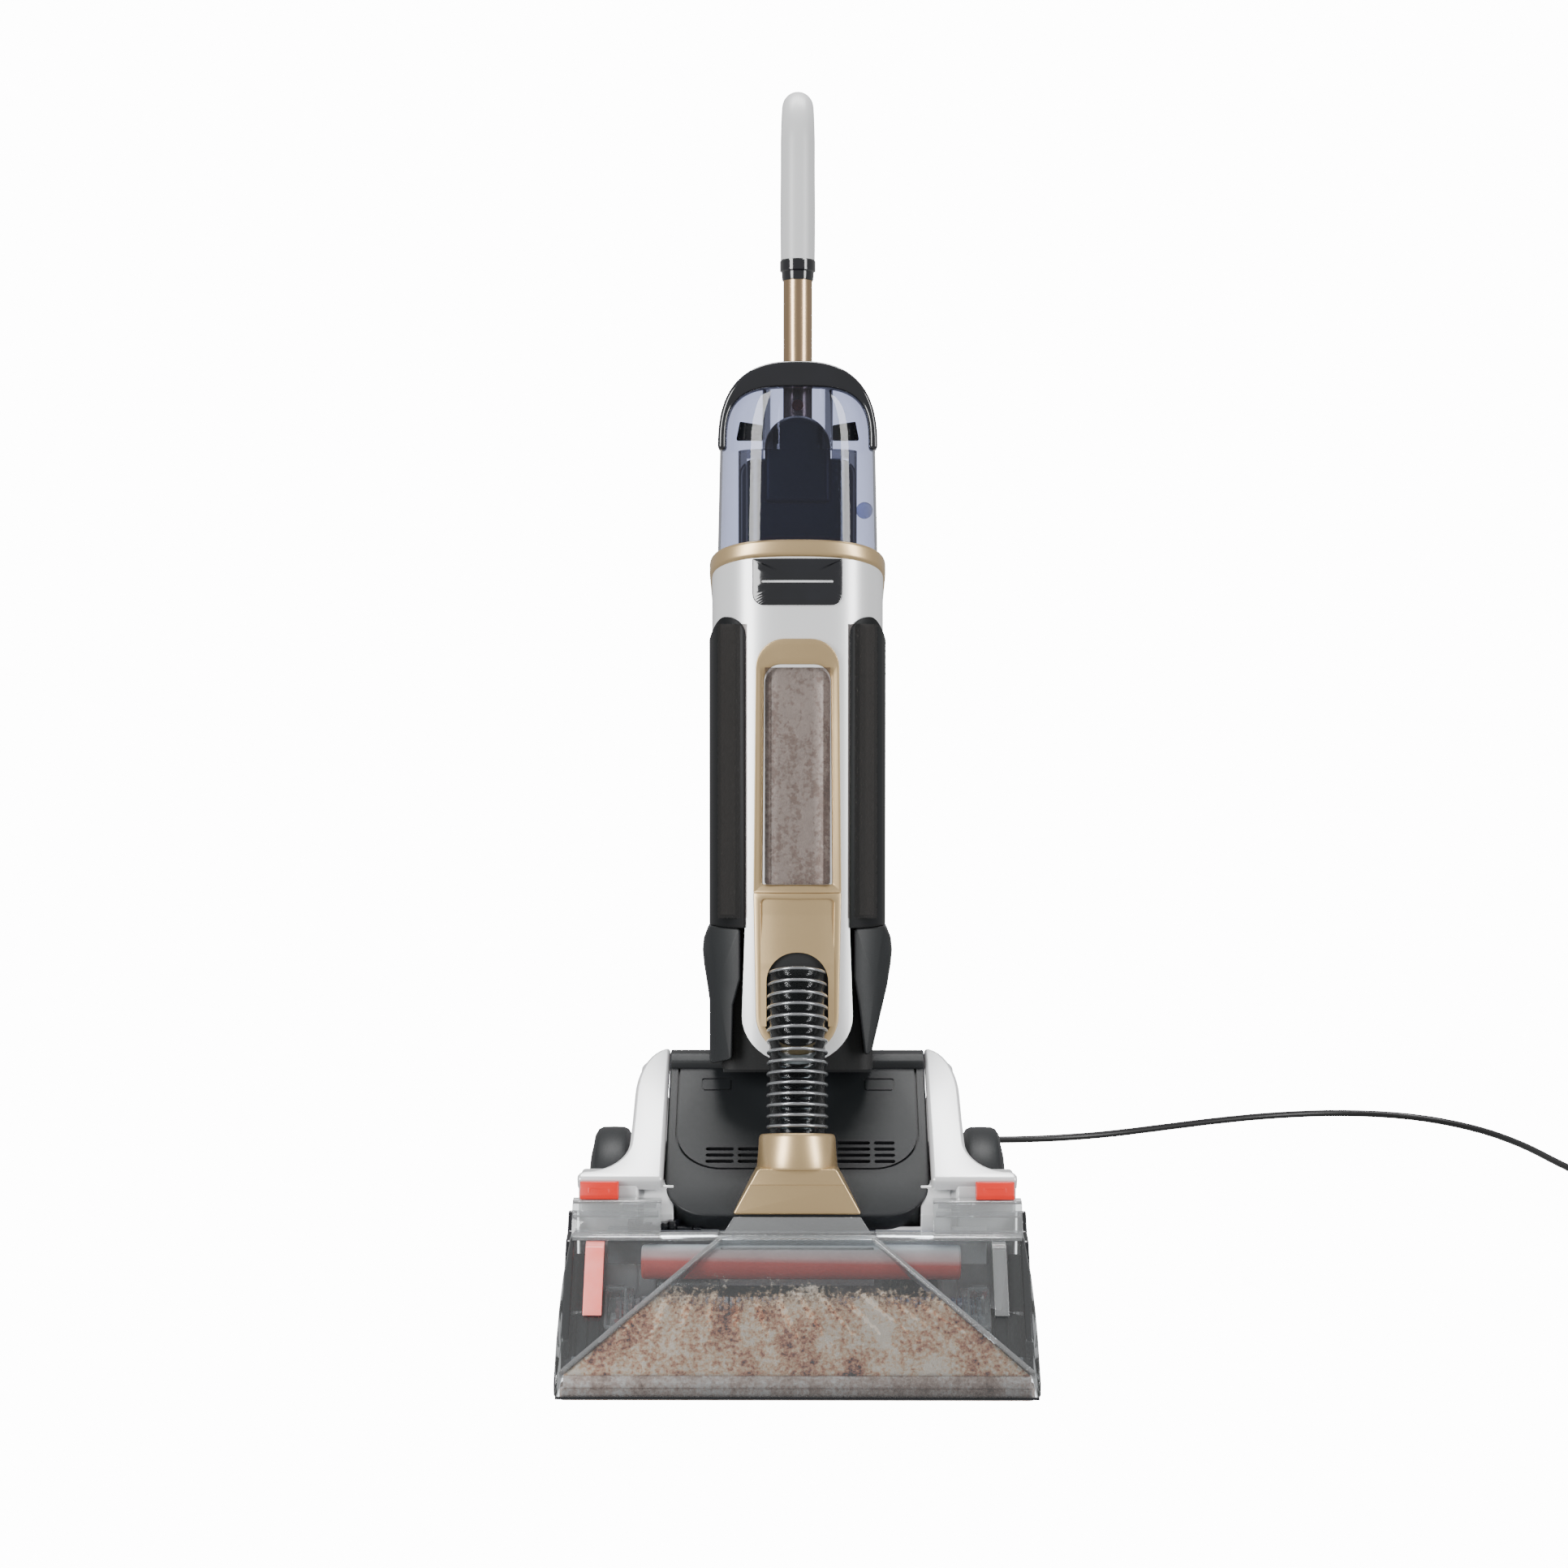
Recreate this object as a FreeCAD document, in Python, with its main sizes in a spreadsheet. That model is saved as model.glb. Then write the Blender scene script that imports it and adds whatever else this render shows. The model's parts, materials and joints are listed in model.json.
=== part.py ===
import FreeCAD, Part
import math
import os
import re

import Sketcher
from FreeCAD import Placement, Rotation, Vector

# Upright carpet cleaner. +X is to the right as it is seen from the front, +Y points backwards and
# +Z up. The origin is on the floor under the middle of the machine, its cord left out. Foot parts
# are drawn with y measured back from the nozzle's front edge. Upright parts are drawn standing
# straight, with y and z measured from the recline axis, and are then leaned back.

SIZES = {
    # overall
    "centre_depth": 192.4,
    "wall": 3,
    "gap": 0.5,
    "lean_angle": 5,
    # nozzle
    "nozzle_width": 370,
    "nozzle_reach": 80,
    "nozzle_rise": 107,
    "nozzle_lift": 3,
    "lip_height": 14,
    "lip_depth": 22,
    "slot_width": 7,
    "ledge_rise": 23,
    "channel_length": 106,
    "channel_depth": 14,
    "channel_top_width": 142,
    "channel_base_width": 352,
    # brush and its drive
    "brush_depth": 76,
    "brush_height": 30,
    "brush_radius": 27,
    "brush_core_radius": 15,
    "brush_left": -146,
    "brush_right": 150,
    "shaft_radius": 4,
    "fit_clearance": 0.05,
    "brush_pulley_radius": 16,
    "motor_pulley_radius": 9,
    "pulley_width": 8,
    "belt_thick": 1.6,
    "drive_motor_depth": 150,
    "drive_motor_height": 46,
    "drive_motor_radius": 20,
    "drive_motor_length": 76,
    # chassis, covers and wheels
    "chassis_width": 268,
    "chassis_back": 345,
    "chassis_bottom": 8,
    "arm_front": 98,
    "arm_back": 212,
    "cover_half": 106,
    "cover_front": 92,
    "cover_low": 108,
    "cover_back": 256,
    "cover_top": 217,
    "fender_top": 219,
    "wing_half": 174,
    "wing_top": 146,
    "wheel_radius": 70,
    "wheel_width": 36,
    "wheel_depth": 288,
    "wheel_inner": 140,
    "axle_radius": 6,
    "latch_width": 30,
    "latch_inner": 140,
    # suction motor
    "fan_depth": 180,
    "fan_side": 50,
    "fan_radius": 48,
    "motor_radius": 34,
    "impeller_radius": 40,
    # recline joint
    "pivot_depth": 275,
    "pivot_height": 110,
    "barrel_radius": 38,
    "barrel_half": 90,
    "pivot_pin_radius": 9,
    # upright body
    "body_half": 70.5,
    "body_front": 118,
    "body_back": 20,
    "body_low": 112,
    "hip_top": 214,
    "hip_half": 78,
    "neck_half": 62,
    "neck_front": 26,
    "seam": 40,
    "switch_half": 12,
    "switch_low": 326,
    "band_front": 514,
    "band_back": 474,
    "band_thick": 14,
    "pad_top": 466,
    "pad_inner": 42,
    "pad_thick": 2.5,
    "bezel_half": 33.5,
    "bezel_top": 448,
    "bezel_split": 243,
    "bezel_thick": 4,
    "window_half": 26.5,
    "window_low": 250,
    "window_high": 425,
    "hose_hole_height": 170,
    "hose_radius": 24,
    "hose_wall": 2,
    "column_half": 27,
    "column_front": 62,
    "column_top": 632,
    "shoulder_half": 48,
    "shoulder_top": 597,
    # clean tank
    "tank_half": 66,
    "tank_front": 114,
    "tank_split": 600,
    "tank_window_top": 655,
    "tank_wall": 2.5,
    "arch_top": 673,
    # handle
    "tube_offset": 40,
    "tube_radius": 12,
    "tube_wall": 1.5,
    "tube_low": 560,
    "tube_top": 748,
    "collar_radius": 14.6,
    "grip_low": 752,
    "grip_top": 905,
    "grip_half": 14.5,
    # cord
    "cord_radius": 3.5,
    "coil_radius": 42,
    "coil_half": 18,
}

PLANES = {"X": "YZ_Plane", "Y": "XZ_Plane", "Z": "XY_Plane"}

doc = FreeCAD.newDocument("carpet_cleaner")
sheet = doc.addObject("Spreadsheet::Sheet", "Sizes")
for row, (alias, number) in enumerate(SIZES.items(), start=1):
    sheet.set(f"A{row}", alias)
    sheet.set(f"B{row}", str(number))
    sheet.setAlias(f"B{row}", alias)
doc.recompute()

parts = []


def size(alias):
    """The number that the sheet holds under this alias."""
    return float(sheet.get(alias))


def bound(words):
    """An expression over the sheet's aliases, written with the sheet's name before each alias."""
    return re.sub(r"[a-z_]{3,}", lambda found: "Sizes." + found.group(0), str(words))


def foot_frame():
    """Foot parts: y is measured back from the nozzle's front edge."""
    return Placement(Vector(0, -size("centre_depth"), 0), Rotation())


def upright_frame():
    """Upright parts: y and z are measured from the recline axis, then leaned back."""
    base = Vector(0, size("pivot_depth") - size("centre_depth"), size("pivot_height"))
    return Placement(base, Rotation(Vector(1, 0, 0), -size("lean_angle")))


def slope_angle():
    """Angle of the nozzle window's slope above the floor, in degrees."""
    return math.degrees(math.atan2(size("nozzle_rise") - 20, size("nozzle_reach") - 4))


def channel_frame():
    """Parts that lie along the nozzle window: z runs up its slope and -y points out of it."""
    turn = Rotation(Vector(1, 0, 0), slope_angle() - 90)
    return foot_frame() * Placement(Vector(0, 4, 20), turn)


def keep(item, label, frame):
    """Name a finished sub-part and set it in its frame."""
    if item.TypeId in ("Part::Cylinder", "Part::Cone", "Part::Box"):
        item = group(label + "_solid", [item])
    item.Label = label
    doc.recompute()
    item.Placement = frame
    parts.append(item)
    return item


def draw(body, axis, corners, level):
    """A closed sketch on the body's plane square to axis, its corners bound to the sheet."""
    plane = [item for item in body.Origin.OriginFeatures if item.Role == PLANES[axis]][0]
    sketch = body.newObject("Sketcher::SketchObject", body.Name + "_sketch")
    sketch.AttachmentSupport = (plane, [""])
    sketch.MapMode = "FlatFace"
    sketch.setExpression("AttachmentOffset.Base.z", bound(level))
    count = len(corners)
    around = [Vector(50 * math.cos(2 * math.pi * i / count), 50 * math.sin(2 * math.pi * i / count), 0)
              for i in range(count)]
    for i in range(count):
        sketch.addGeometry(Part.LineSegment(around[i], around[(i + 1) % count]), False)
    for i in range(count):
        sketch.addConstraint(Sketcher.Constraint("Coincident", i, 2, (i + 1) % count, 1))
    for i, (across, up) in enumerate(corners):
        for kind, place, words in (("DistanceX", around[i].x, across), ("DistanceY", around[i].y, up)):
            number = sketch.addConstraint(Sketcher.Constraint(kind, -1, 1, i, 1, place))
            sketch.setExpression(f"Constraints[{number}]", bound(words))
    return sketch


def new_body(name):
    return doc.addObject("PartDesign::Body", name)


def add_prism(body, axis, corners, low, high):
    """Pad an outline from low to high along an axis."""
    level = f"-({high})" if axis == "Y" else low
    pad = body.newObject("PartDesign::Pad", body.Name + "_pad")
    pad.Profile = draw(body, axis, corners, level)
    pad.setExpression("Length", bound(f"({high}) - ({low})"))
    doc.recompute()
    return pad


def cut_prism(body, axis, corners, low, high):
    """Pocket an outline from high down to low along an axis."""
    before = body.Shape.Volume
    level = f"-({low})" if axis == "Y" else high
    pocket = body.newObject("PartDesign::Pocket", body.Name + "_pocket")
    pocket.Profile = draw(body, axis, corners, level)
    pocket.setExpression("Length", bound(f"({high}) - ({low})"))
    doc.recompute()
    if not body.Shape.Volume < before - 1:
        raise RuntimeError("a pocket cut nothing in " + body.Name)
    return pocket


def round_edges(body, radius, chosen):
    """Fillet the edges of the body's last feature that the test picks."""
    last = body.Tip
    names = [f"Edge{i}" for i, edge in enumerate(last.Shape.Edges, start=1) if chosen(edge)]
    fillet = body.newObject("PartDesign::Fillet", body.Name + "_fillet")
    fillet.Base = (last, names)
    fillet.setExpression("Radius", bound(radius))
    doc.recompute()
    return fillet


def along(axis, shortest=1):
    """An edge test: straight edges parallel to the axis."""
    def test(edge):
        box = edge.BoundBox
        spans = {"X": box.XLength, "Y": box.YLength, "Z": box.ZLength}
        others = sum(span for name, span in spans.items() if name != axis)
        return spans[axis] > shortest and others < 0.01
    return test


def prism(label, frame, axis, corners, low, high):
    body = new_body(label)
    add_prism(body, axis, corners, low, high)
    return keep(body, label, frame)


def box(across, deep_or_up):
    """Four corners of a rectangle from two (low, high) pairs of expressions."""
    (a, b), (c, d) = across, deep_or_up
    return [(a, c), (b, c), (b, d), (a, d)]


def cylinder(name, radius, low, high, axis, place=(0, 0, 0)):
    """A cylinder from low to high along an axis, through a place given by three expressions."""
    item = doc.addObject("Part::Cylinder", name)
    item.setExpression("Radius", bound(radius))
    item.setExpression("Height", bound(f"({high}) - ({low})"))
    turns = {"X": Rotation(Vector(0, 1, 0), 90), "Y": Rotation(Vector(1, 0, 0), -90), "Z": Rotation()}
    item.Placement = Placement(Vector(0, 0, 0), turns[axis])
    for letter, words in zip("XYZ", place):
        start = f"({words}) + ({low})" if letter == axis else str(words)
        item.setExpression("Placement.Base." + letter.lower(), bound(start))
    return item


def block(name, across, deep, high):
    """A box from three (low, high) pairs of expressions."""
    item = doc.addObject("Part::Box", name)
    for kind, letter, (low, top) in zip(("Length", "Width", "Height"), "xyz", (across, deep, high)):
        item.setExpression(kind, bound(f"({top}) - ({low})"))
        item.setExpression("Placement.Base." + letter, bound(low))
    return item


def join(name, pieces):
    item = doc.addObject("Part::MultiFuse", name)
    item.Shapes = pieces
    item.Refine = True
    return item


def cut(name, base, tools):
    item = doc.addObject("Part::Cut", name)
    item.Base = base
    item.Tool = tools[0] if len(tools) == 1 else join(name + "_tools", tools)
    return item


def group(name, pieces):
    """Several separate solids that share one node."""
    item = doc.addObject("Part::Compound", name)
    item.Links = pieces
    return item


def sides():
    """Left and right: name, and a function that orders a pair of distances from the middle."""
    return (("left", lambda near, far: (f"-({far})", f"-({near})")),
            ("right", lambda near, far: (near, far)))


# ---------------------------------------------------------------- nozzle

def nozzle_cover():
    """Clear hood over the brush: sloped window, side walls and two raised ledges."""
    body = new_body("nozzle_cover")
    outline = [(0, "nozzle_lift"), (0, "lip_height"), (4, 20), ("nozzle_reach", "nozzle_rise"),
               ("arm_front - 2", "nozzle_rise"), ("arm_front - 2", "nozzle_lift")]
    hollow = [("wall", -1), ("wall", "lip_height - 1"), ("4 + wall", "20 - 0.3 * wall"),
              ("nozzle_reach + 0.4 * wall", "nozzle_rise - wall"), ("arm_front + 5", "nozzle_rise - wall"),
              ("arm_front + 5", -1)]
    half = "nozzle_width / 2"
    ledge = [("nozzle_reach", "nozzle_rise - 2"), ("nozzle_reach + 15", "nozzle_rise + ledge_rise"),
             ("arm_front + 8", "nozzle_rise + ledge_rise"),
             ("arm_front + 8", "nozzle_rise + ledge_rise - wall"),
             ("nozzle_reach + 17", "nozzle_rise + ledge_rise - wall"), ("nozzle_reach + 5", "nozzle_rise - 2")]
    add_prism(body, "X", outline, f"-{half}", half)
    cut_prism(body, "X", hollow, f"-({half} - wall)", f"{half} - wall")
    for _, pair in sides():
        low, high = pair("cover_half + gap", f"{half} - 7")
        add_prism(body, "X", ledge, low, high)
    keep(body, "nozzle_cover", foot_frame())


def suction_channel():
    """Clear pan behind the window, wide at the lip and narrow at the hose plate."""
    body = new_body("suction_channel")
    top = "channel_top_width / 2"
    base = "channel_base_width / 2"
    front = "wall + 0.3"
    outer = [(f"-{base}", 6), (base, 6), (top, "channel_length"), (f"-{top}", "channel_length")]
    inner = [(f"-({base} - 1.5 * wall)", 1), (f"{base} - 1.5 * wall", 1),
             (f"{top} - wall", "channel_length + 1"), (f"-({top} - wall)", "channel_length + 1")]
    add_prism(body, "Y", outer, front, f"{front} + channel_depth")
    cut_prism(body, "Y", inner, front, f"{front} + channel_depth - wall + 0.5")
    keep(body, "suction_channel", channel_frame())


def suction_lip():
    """Slotted floor lip that the suction is drawn through."""
    body = new_body("suction_lip")
    half = "nozzle_width / 2 - wall - 1"
    add_prism(body, "Z", box((f"-({half})", half), ("wall + 0.2", "lip_depth")), 0, "nozzle_lift + 6")
    cut_prism(body, "Z", box((f"-({half} - 12)", f"{half} - 12"), ("9", "9 + slot_width")), -1, 12)
    keep(body, "suction_lip", foot_frame())


def end_plates():
    """Black end frames that carry the brush bearings, with gussets towards the brush."""
    outline = [("lip_depth + 2", "chassis_bottom + 4"), ("lip_depth + 2", 34), ("lip_depth + 4", 38),
               ("nozzle_reach + 1", "nozzle_rise - 9"), ("arm_front - 3", "nozzle_rise - 6"),
               ("arm_front + 12", "nozzle_rise + 15"), ("arm_front + 12", "chassis_bottom")]
    plates = []
    for side, pair in sides():
        body = new_body("end_plate_" + side)
        low, high = pair("nozzle_width / 2 - wall - 10", "nozzle_width / 2 - wall - 1")
        add_prism(body, "X", outline, low, high)
        boss_low, boss_high = pair("nozzle_width / 2 - wall - 20", "nozzle_width / 2 - wall - 9")
        boss = cylinder("boss_" + side, 10, boss_low, boss_high, "X", (0, "brush_depth", "brush_height"))
        bore_low, bore_high = pair("nozzle_width / 2 - wall - 21", "nozzle_width / 2 - wall - 4")
        bore = cylinder("bore_" + side, "shaft_radius + fit_clearance", bore_low, bore_high, "X",
                        (0, "brush_depth", "brush_height"))
        solid = join("end_plate_solid_" + side, [body, boss])
        plates.append(cut("end_plate_cut_" + side, solid, [bore]))
    keep(group("end_plate_group", plates), "end_plates", foot_frame())


def belt_guards():
    """Curved guards over the belt and over the brush's free end."""
    for label, pair in (("belt_guard", sides()[0][1]), ("brush_guard", sides()[1][1])):
        low, high = pair(152, 166)
        prism(label, channel_frame(), "X", box(("wall + 2", "wall + 5"), (30, 100)), low, high)


def brush():
    """Roll, bristles and toothed pulley, all on one shaft."""
    centre = (0, "brush_depth", "brush_height")
    shaft = cylinder("brush_shaft", "shaft_radius", "-(nozzle_width / 2 - wall - 6)",
                     "nozzle_width / 2 - wall - 6", "X", centre)
    core = cylinder("brush_tube", "brush_core_radius", "brush_left", "brush_right", "X", centre)
    keep(join("brush_core_solid", [shaft, core]), "brush_core", foot_frame())
    outer = cylinder("bristle_outer", "brush_radius", "brush_left + 4", "brush_right - 4", "X", centre)
    inner = cylinder("bristle_inner", "brush_core_radius", "brush_left", "brush_right", "X", centre)
    keep(cut("bristle_cut", outer, [inner]), "brush_bristles", foot_frame())
    wheel = cylinder("pulley_outer", "brush_pulley_radius", "brush_left - 2 - pulley_width",
                     "brush_left - 2", "X", centre)
    hole = cylinder("pulley_inner", "shaft_radius", "brush_left - 3 - pulley_width", "brush_left - 1",
                    "X", centre)
    keep(cut("pulley_cut", wheel, [hole]), "brush_pulley", foot_frame())


def brush_drive():
    """Brush motor, its pulley and the belt between the two pulleys."""
    centre = (0, "drive_motor_depth", "drive_motor_height")
    can = cylinder("motor_can", "drive_motor_radius", "brush_left + 8",
                   "brush_left + 8 + drive_motor_length", "X", centre)
    foot = block("motor_foot", ("brush_left + 12", "brush_left + 4 + drive_motor_length"),
                 ("drive_motor_depth - 14", "drive_motor_depth + 14"),
                 ("chassis_bottom + wall", "drive_motor_height - 10"))
    bore = cylinder("motor_bore", "shaft_radius + fit_clearance", "brush_left + 7", "brush_left + 20",
                    "X", centre)
    keep(cut("motor_cut", join("motor_solid", [can, foot]), [bore]), "brush_motor", foot_frame())
    wheel = cylinder("motor_wheel", "motor_pulley_radius", "brush_left - 2 - pulley_width",
                     "brush_left - 2", "X", centre)
    shaft = cylinder("motor_shaft", "shaft_radius", "brush_left - 3", "brush_left + 19", "X", centre)
    keep(join("motor_pulley_solid", [wheel, shaft]), "motor_pulley", foot_frame())
    belt = doc.addObject("Part::Feature", "belt_shape")
    belt.Shape = belt_shape()
    keep(belt, "drive_belt", foot_frame())


def belt_loop(extra):
    """Face round both pulleys, this far outside them, in the plane square to x."""
    across = size("brush_left") - 1.5 - size("pulley_width")
    first = Vector(across, size("brush_depth"), size("brush_height"))
    second = Vector(across, size("drive_motor_depth"), size("drive_motor_height"))
    big = size("brush_pulley_radius") + extra
    small = size("motor_pulley_radius") + extra
    line = second - first
    lean = math.atan2(line.z, line.y)
    wrap = math.acos((big - small) / line.Length)

    def spot(centre, radius, angle):
        return centre + Vector(0, radius * math.cos(angle), radius * math.sin(angle))

    top_big = spot(first, big, lean + wrap)
    low_big = spot(first, big, lean - wrap)
    top_small = spot(second, small, lean + wrap)
    low_small = spot(second, small, lean - wrap)
    edges = [
        Part.Arc(top_big, spot(first, big, lean + math.pi), low_big).toShape(),
        Part.LineSegment(low_big, low_small).toShape(),
        Part.Arc(low_small, spot(second, small, lean), top_small).toShape(),
        Part.LineSegment(top_small, top_big).toShape(),
    ]
    return Part.Face(Part.Wire(edges))


def belt_shape():
    """The belt's loop, 0.3 mm clear of the pulleys and a millimetre narrower."""
    clear = 0.3
    along_belt = Vector(size("pulley_width") - 1, 0, 0)
    outer = belt_loop(clear + size("belt_thick")).extrude(along_belt)
    return outer.cut(belt_loop(clear).extrude(along_belt)).Solids[0]


def spray_parts():
    """Solution pump, the pipe across the front and its spray tips."""
    bar = cylinder("bar", 5, -120, 120, "X", (0, "arm_front + 2", 88))
    feed = cylinder("feed", 3, 0, 72, "Y", (-28, "arm_front + 6", 88))
    drop = cylinder("drop", 3, 43.05, 88, "Z", (-28, "arm_front + 78", 0))
    tips = []
    for number, place in enumerate((-95, -35, 35, 95)):
        tip = doc.addObject("Part::Cone", f"tip_{number}")
        tip.Radius1 = 2
        tip.Radius2 = 3.5
        tip.Height = 9
        tip.setExpression("Placement.Base.y", bound("arm_front + 2"))
        tip.Placement.Base.x = place
        tip.Placement.Base.z = 76
        tips.append(tip)
    keep(join("spray_bar_solid", [bar, feed, drop] + tips), "spray_bar", foot_frame())
    body = cylinder("pump_body", 16, -60, 4, "X", (0, "arm_front + 78", 24 + 3))
    keep(body, "solution_pump", foot_frame())


# ---------------------------------------------------------------- foot

def base_plate():
    """Chassis tray: two arms at the front, side and rear walls, and pillars for pins and axles."""
    body = new_body("base_plate_tray")
    half = "chassis_width / 2"
    reach = "nozzle_width / 2 - wall - 1"
    plan = [(f"-({reach})", "arm_front + 12.2"), (reach, "arm_front + 12.2"), (reach, "arm_back"),
            (half, "arm_back"), (half, "chassis_back"), (f"-{half}", "chassis_back"),
            (f"-{half}", "arm_back"), (f"-({reach})", "arm_back")]
    add_prism(body, "Z", plan, "chassis_bottom", "chassis_bottom + wall")
    for _, pair in sides():
        wall = pair(f"{half} - wall", half)
        add_prism(body, "Z", box(wall, ("arm_back", "chassis_back")), "chassis_bottom", 56)
    add_prism(body, "Z", box((f"-{half}", half), ("chassis_back - wall", "chassis_back")),
              "chassis_bottom", 56)
    pillar = [("pivot_depth - 36", "chassis_bottom + 1"), ("pivot_depth - 20", "pivot_height + 10"),
              ("pivot_depth - 8", "pivot_height + 20"), ("pivot_depth + 10", "pivot_height + 20"),
              ("pivot_depth + 24", "pivot_height + 6"), ("pivot_depth + 50", "chassis_bottom + 1")]
    holes = []
    for side, pair in sides():
        low, high = pair("barrel_half + 2", f"{half} - wall - 12")
        add_prism(body, "X", pillar, low, high)
        holes.append(cylinder("pin_hole_" + side, "pivot_pin_radius", low, high, "X",
                              (0, "pivot_depth", "pivot_height")))
        holes.append(cylinder("axle_hole_" + side, "axle_radius", low, high, "X",
                              (0, "wheel_depth", "wheel_radius")))
    keep(cut("base_plate_cut", body, holes), "base_plate", foot_frame())


def motor_cover():
    """Black hood from the nozzle up to the neck, open behind and below, with vent slots."""
    body = new_body("motor_cover")
    outline = [("cover_front", "cover_low"), ("cover_front + 5", "cover_low + 10"),
               ("cover_back - 10", "cover_top"), ("cover_back", "cover_top"),
               ("cover_back", "pivot_height + 26"), ("pivot_depth - 38", "pivot_height - 20"),
               ("pivot_depth - 39", "cover_low - 36"), ("cover_front + 26", "cover_low - 36"),
               ("cover_front + 20", "cover_low")]
    hollow = [("cover_front + 24", "cover_low - 60"), ("cover_front + 24", "cover_low + 20"),
              ("cover_back - 9", "cover_top - wall - 1"), ("cover_back + 5", "cover_top - wall - 1"),
              ("cover_back + 5", "cover_low - 60")]
    add_prism(body, "X", outline, "-cover_half", "cover_half")
    cut_prism(body, "X", hollow, "-(cover_half - wall)", "cover_half - wall")
    for side, pair in sides():
        for row in range(3):
            across = pair(34, 54)
            further = pair(58, 78)
            low = f"{136 + 8 * row}"
            for span in (across, further):
                cut_prism(body, "Y", box(span, (low, f"{low} + 4")), "cover_front + 20", "cover_front + 76")
    cut_prism(body, "Y", box((-34, -22), (82, 94)), "cover_front + 15", "cover_front + 30")
    keep(body, "motor_cover", foot_frame())


def fenders():
    """Pearl side covers with a wing out in front of each wheel."""
    panel = [("arm_front + 12", "nozzle_rise + 16"), ("arm_front + 16", "wing_top"), (215, 186),
             ("cover_back - 20", "fender_top - 6"), ("cover_back", "fender_top"), (300, "fender_top - 8"),
             ("chassis_back - 5", 160), ("chassis_back - 5", 57), ("arm_back", 57), (200, 12),
             ("arm_front + 12.2", 12)]
    wing = [("arm_front + 12.2", "chassis_bottom + wall"), ("arm_front + 12.2", "wing_top - 14"),
            ("arm_front + 16", "wing_top"), ("arm_front + 40", "wing_top + 3"), (186, 128),
            (204, 100), ("arm_back - 2", 60), ("arm_back - 2", "chassis_bottom + wall")]
    for side, pair in sides():
        body = new_body("fender_moulding_" + side)
        low, high = pair("cover_half + gap", "chassis_width / 2 + 1")
        add_prism(body, "X", panel[:8] + [("arm_back", 57), ("arm_back", 11), ("arm_front + 12.2", 11)],
                  low, high)
        round_edges(body, 9, outer_top(side))
        wing_low, wing_high = pair("chassis_width / 2 - 2", "wing_half")
        add_prism(body, "X", wing, wing_low, wing_high)
        hollow = [("arm_front + 30", 5), ("arm_front + 30", 118), (200, 170), (240, 200), (292, 200),
                  ("chassis_back - 12", 150), ("chassis_back - 12", 5)]
        hollow_low, hollow_high = pair("cover_half - 5", "chassis_width / 2 - 4")
        cut_prism(body, "X", hollow, hollow_low, hollow_high)
        well = [("arm_front + 11", 5), ("arm_front + 11", 118), (180, 118), (196, 94), (204, 60), (204, 5)]
        well_low, well_high = pair("chassis_width / 2 - 5", "wing_half - wall")
        cut_prism(body, "X", well, well_low, well_high)
        hole = cylinder("fender_hole_" + side, "axle_radius + 1", low, high, "X",
                        (0, "wheel_depth", "wheel_radius"))
        keep(cut("fender_cut_" + side, body, [hole]), "fender_" + side, foot_frame())


def outer_top(side):
    """An edge test: the outer side's upper edges of a fender panel."""
    sign = 1 if side == "right" else -1

    def test(edge):
        box_ = edge.BoundBox
        outer = sign * box_.XMin > size("cover_half") + 5 and box_.XLength < 0.01
        return outer and box_.ZMin > size("wing_top") - 20
    return test


def wheels():
    """Two rear wheels on stub axles that stand out of the chassis pillars."""
    for side, pair in sides():
        sign = 1 if side == "right" else -1
        tyre = [(-18, 0), (-18, 50), (-15, 62), (-9, "wheel_radius"), (9, "wheel_radius"), (15, 62),
                (18, 50), (18, 0)]
        body = new_body("wheel_" + side + "_turned")
        sketch = draw(body, "Y", tyre, 0)
        turn = body.newObject("PartDesign::Revolution", body.Name + "_turn")
        turn.Profile = sketch
        turn.ReferenceAxis = (sketch, ["H_Axis"])
        turn.Angle = 360
        doc.recompute()
        body.setExpression("Placement.Base.x", bound(f"{sign} * (wheel_inner + wheel_width / 2)"))
        body.setExpression("Placement.Base.y", bound("wheel_depth"))
        body.setExpression("Placement.Base.z", bound("wheel_radius"))
        low, high = pair("wheel_inner - 5", "wheel_inner + wheel_width - 8")
        centre = (0, "wheel_depth", "wheel_radius")
        bore = cylinder("wheel_bore_" + side, "axle_radius + fit_clearance", low, high, "X", centre)
        keep(cut("wheel_cut_" + side, body, [bore]), "wheel_" + side, foot_frame())
    axles = []
    for side, pair in sides():
        low, high = pair("barrel_half + 14", "wheel_inner + wheel_width - 9")
        axles.append(cylinder("axle_" + side, "axle_radius", low, high, "X", centre))
    keep(group("wheel_axle_group", axles), "wheel_axles", foot_frame())


def pivot_pins():
    """Steel pins that the upright turns on, held in the chassis pillars."""
    pins = []
    for side, pair in sides():
        low, high = pair("barrel_half - 24", "chassis_width / 2 - wall - 12")
        pins.append(cylinder("pin_" + side, "pivot_pin_radius", low, high, "X",
                             (0, "pivot_depth", "pivot_height")))
    keep(group("pivot_pin_group", pins), "pivot_pins", foot_frame())


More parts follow.
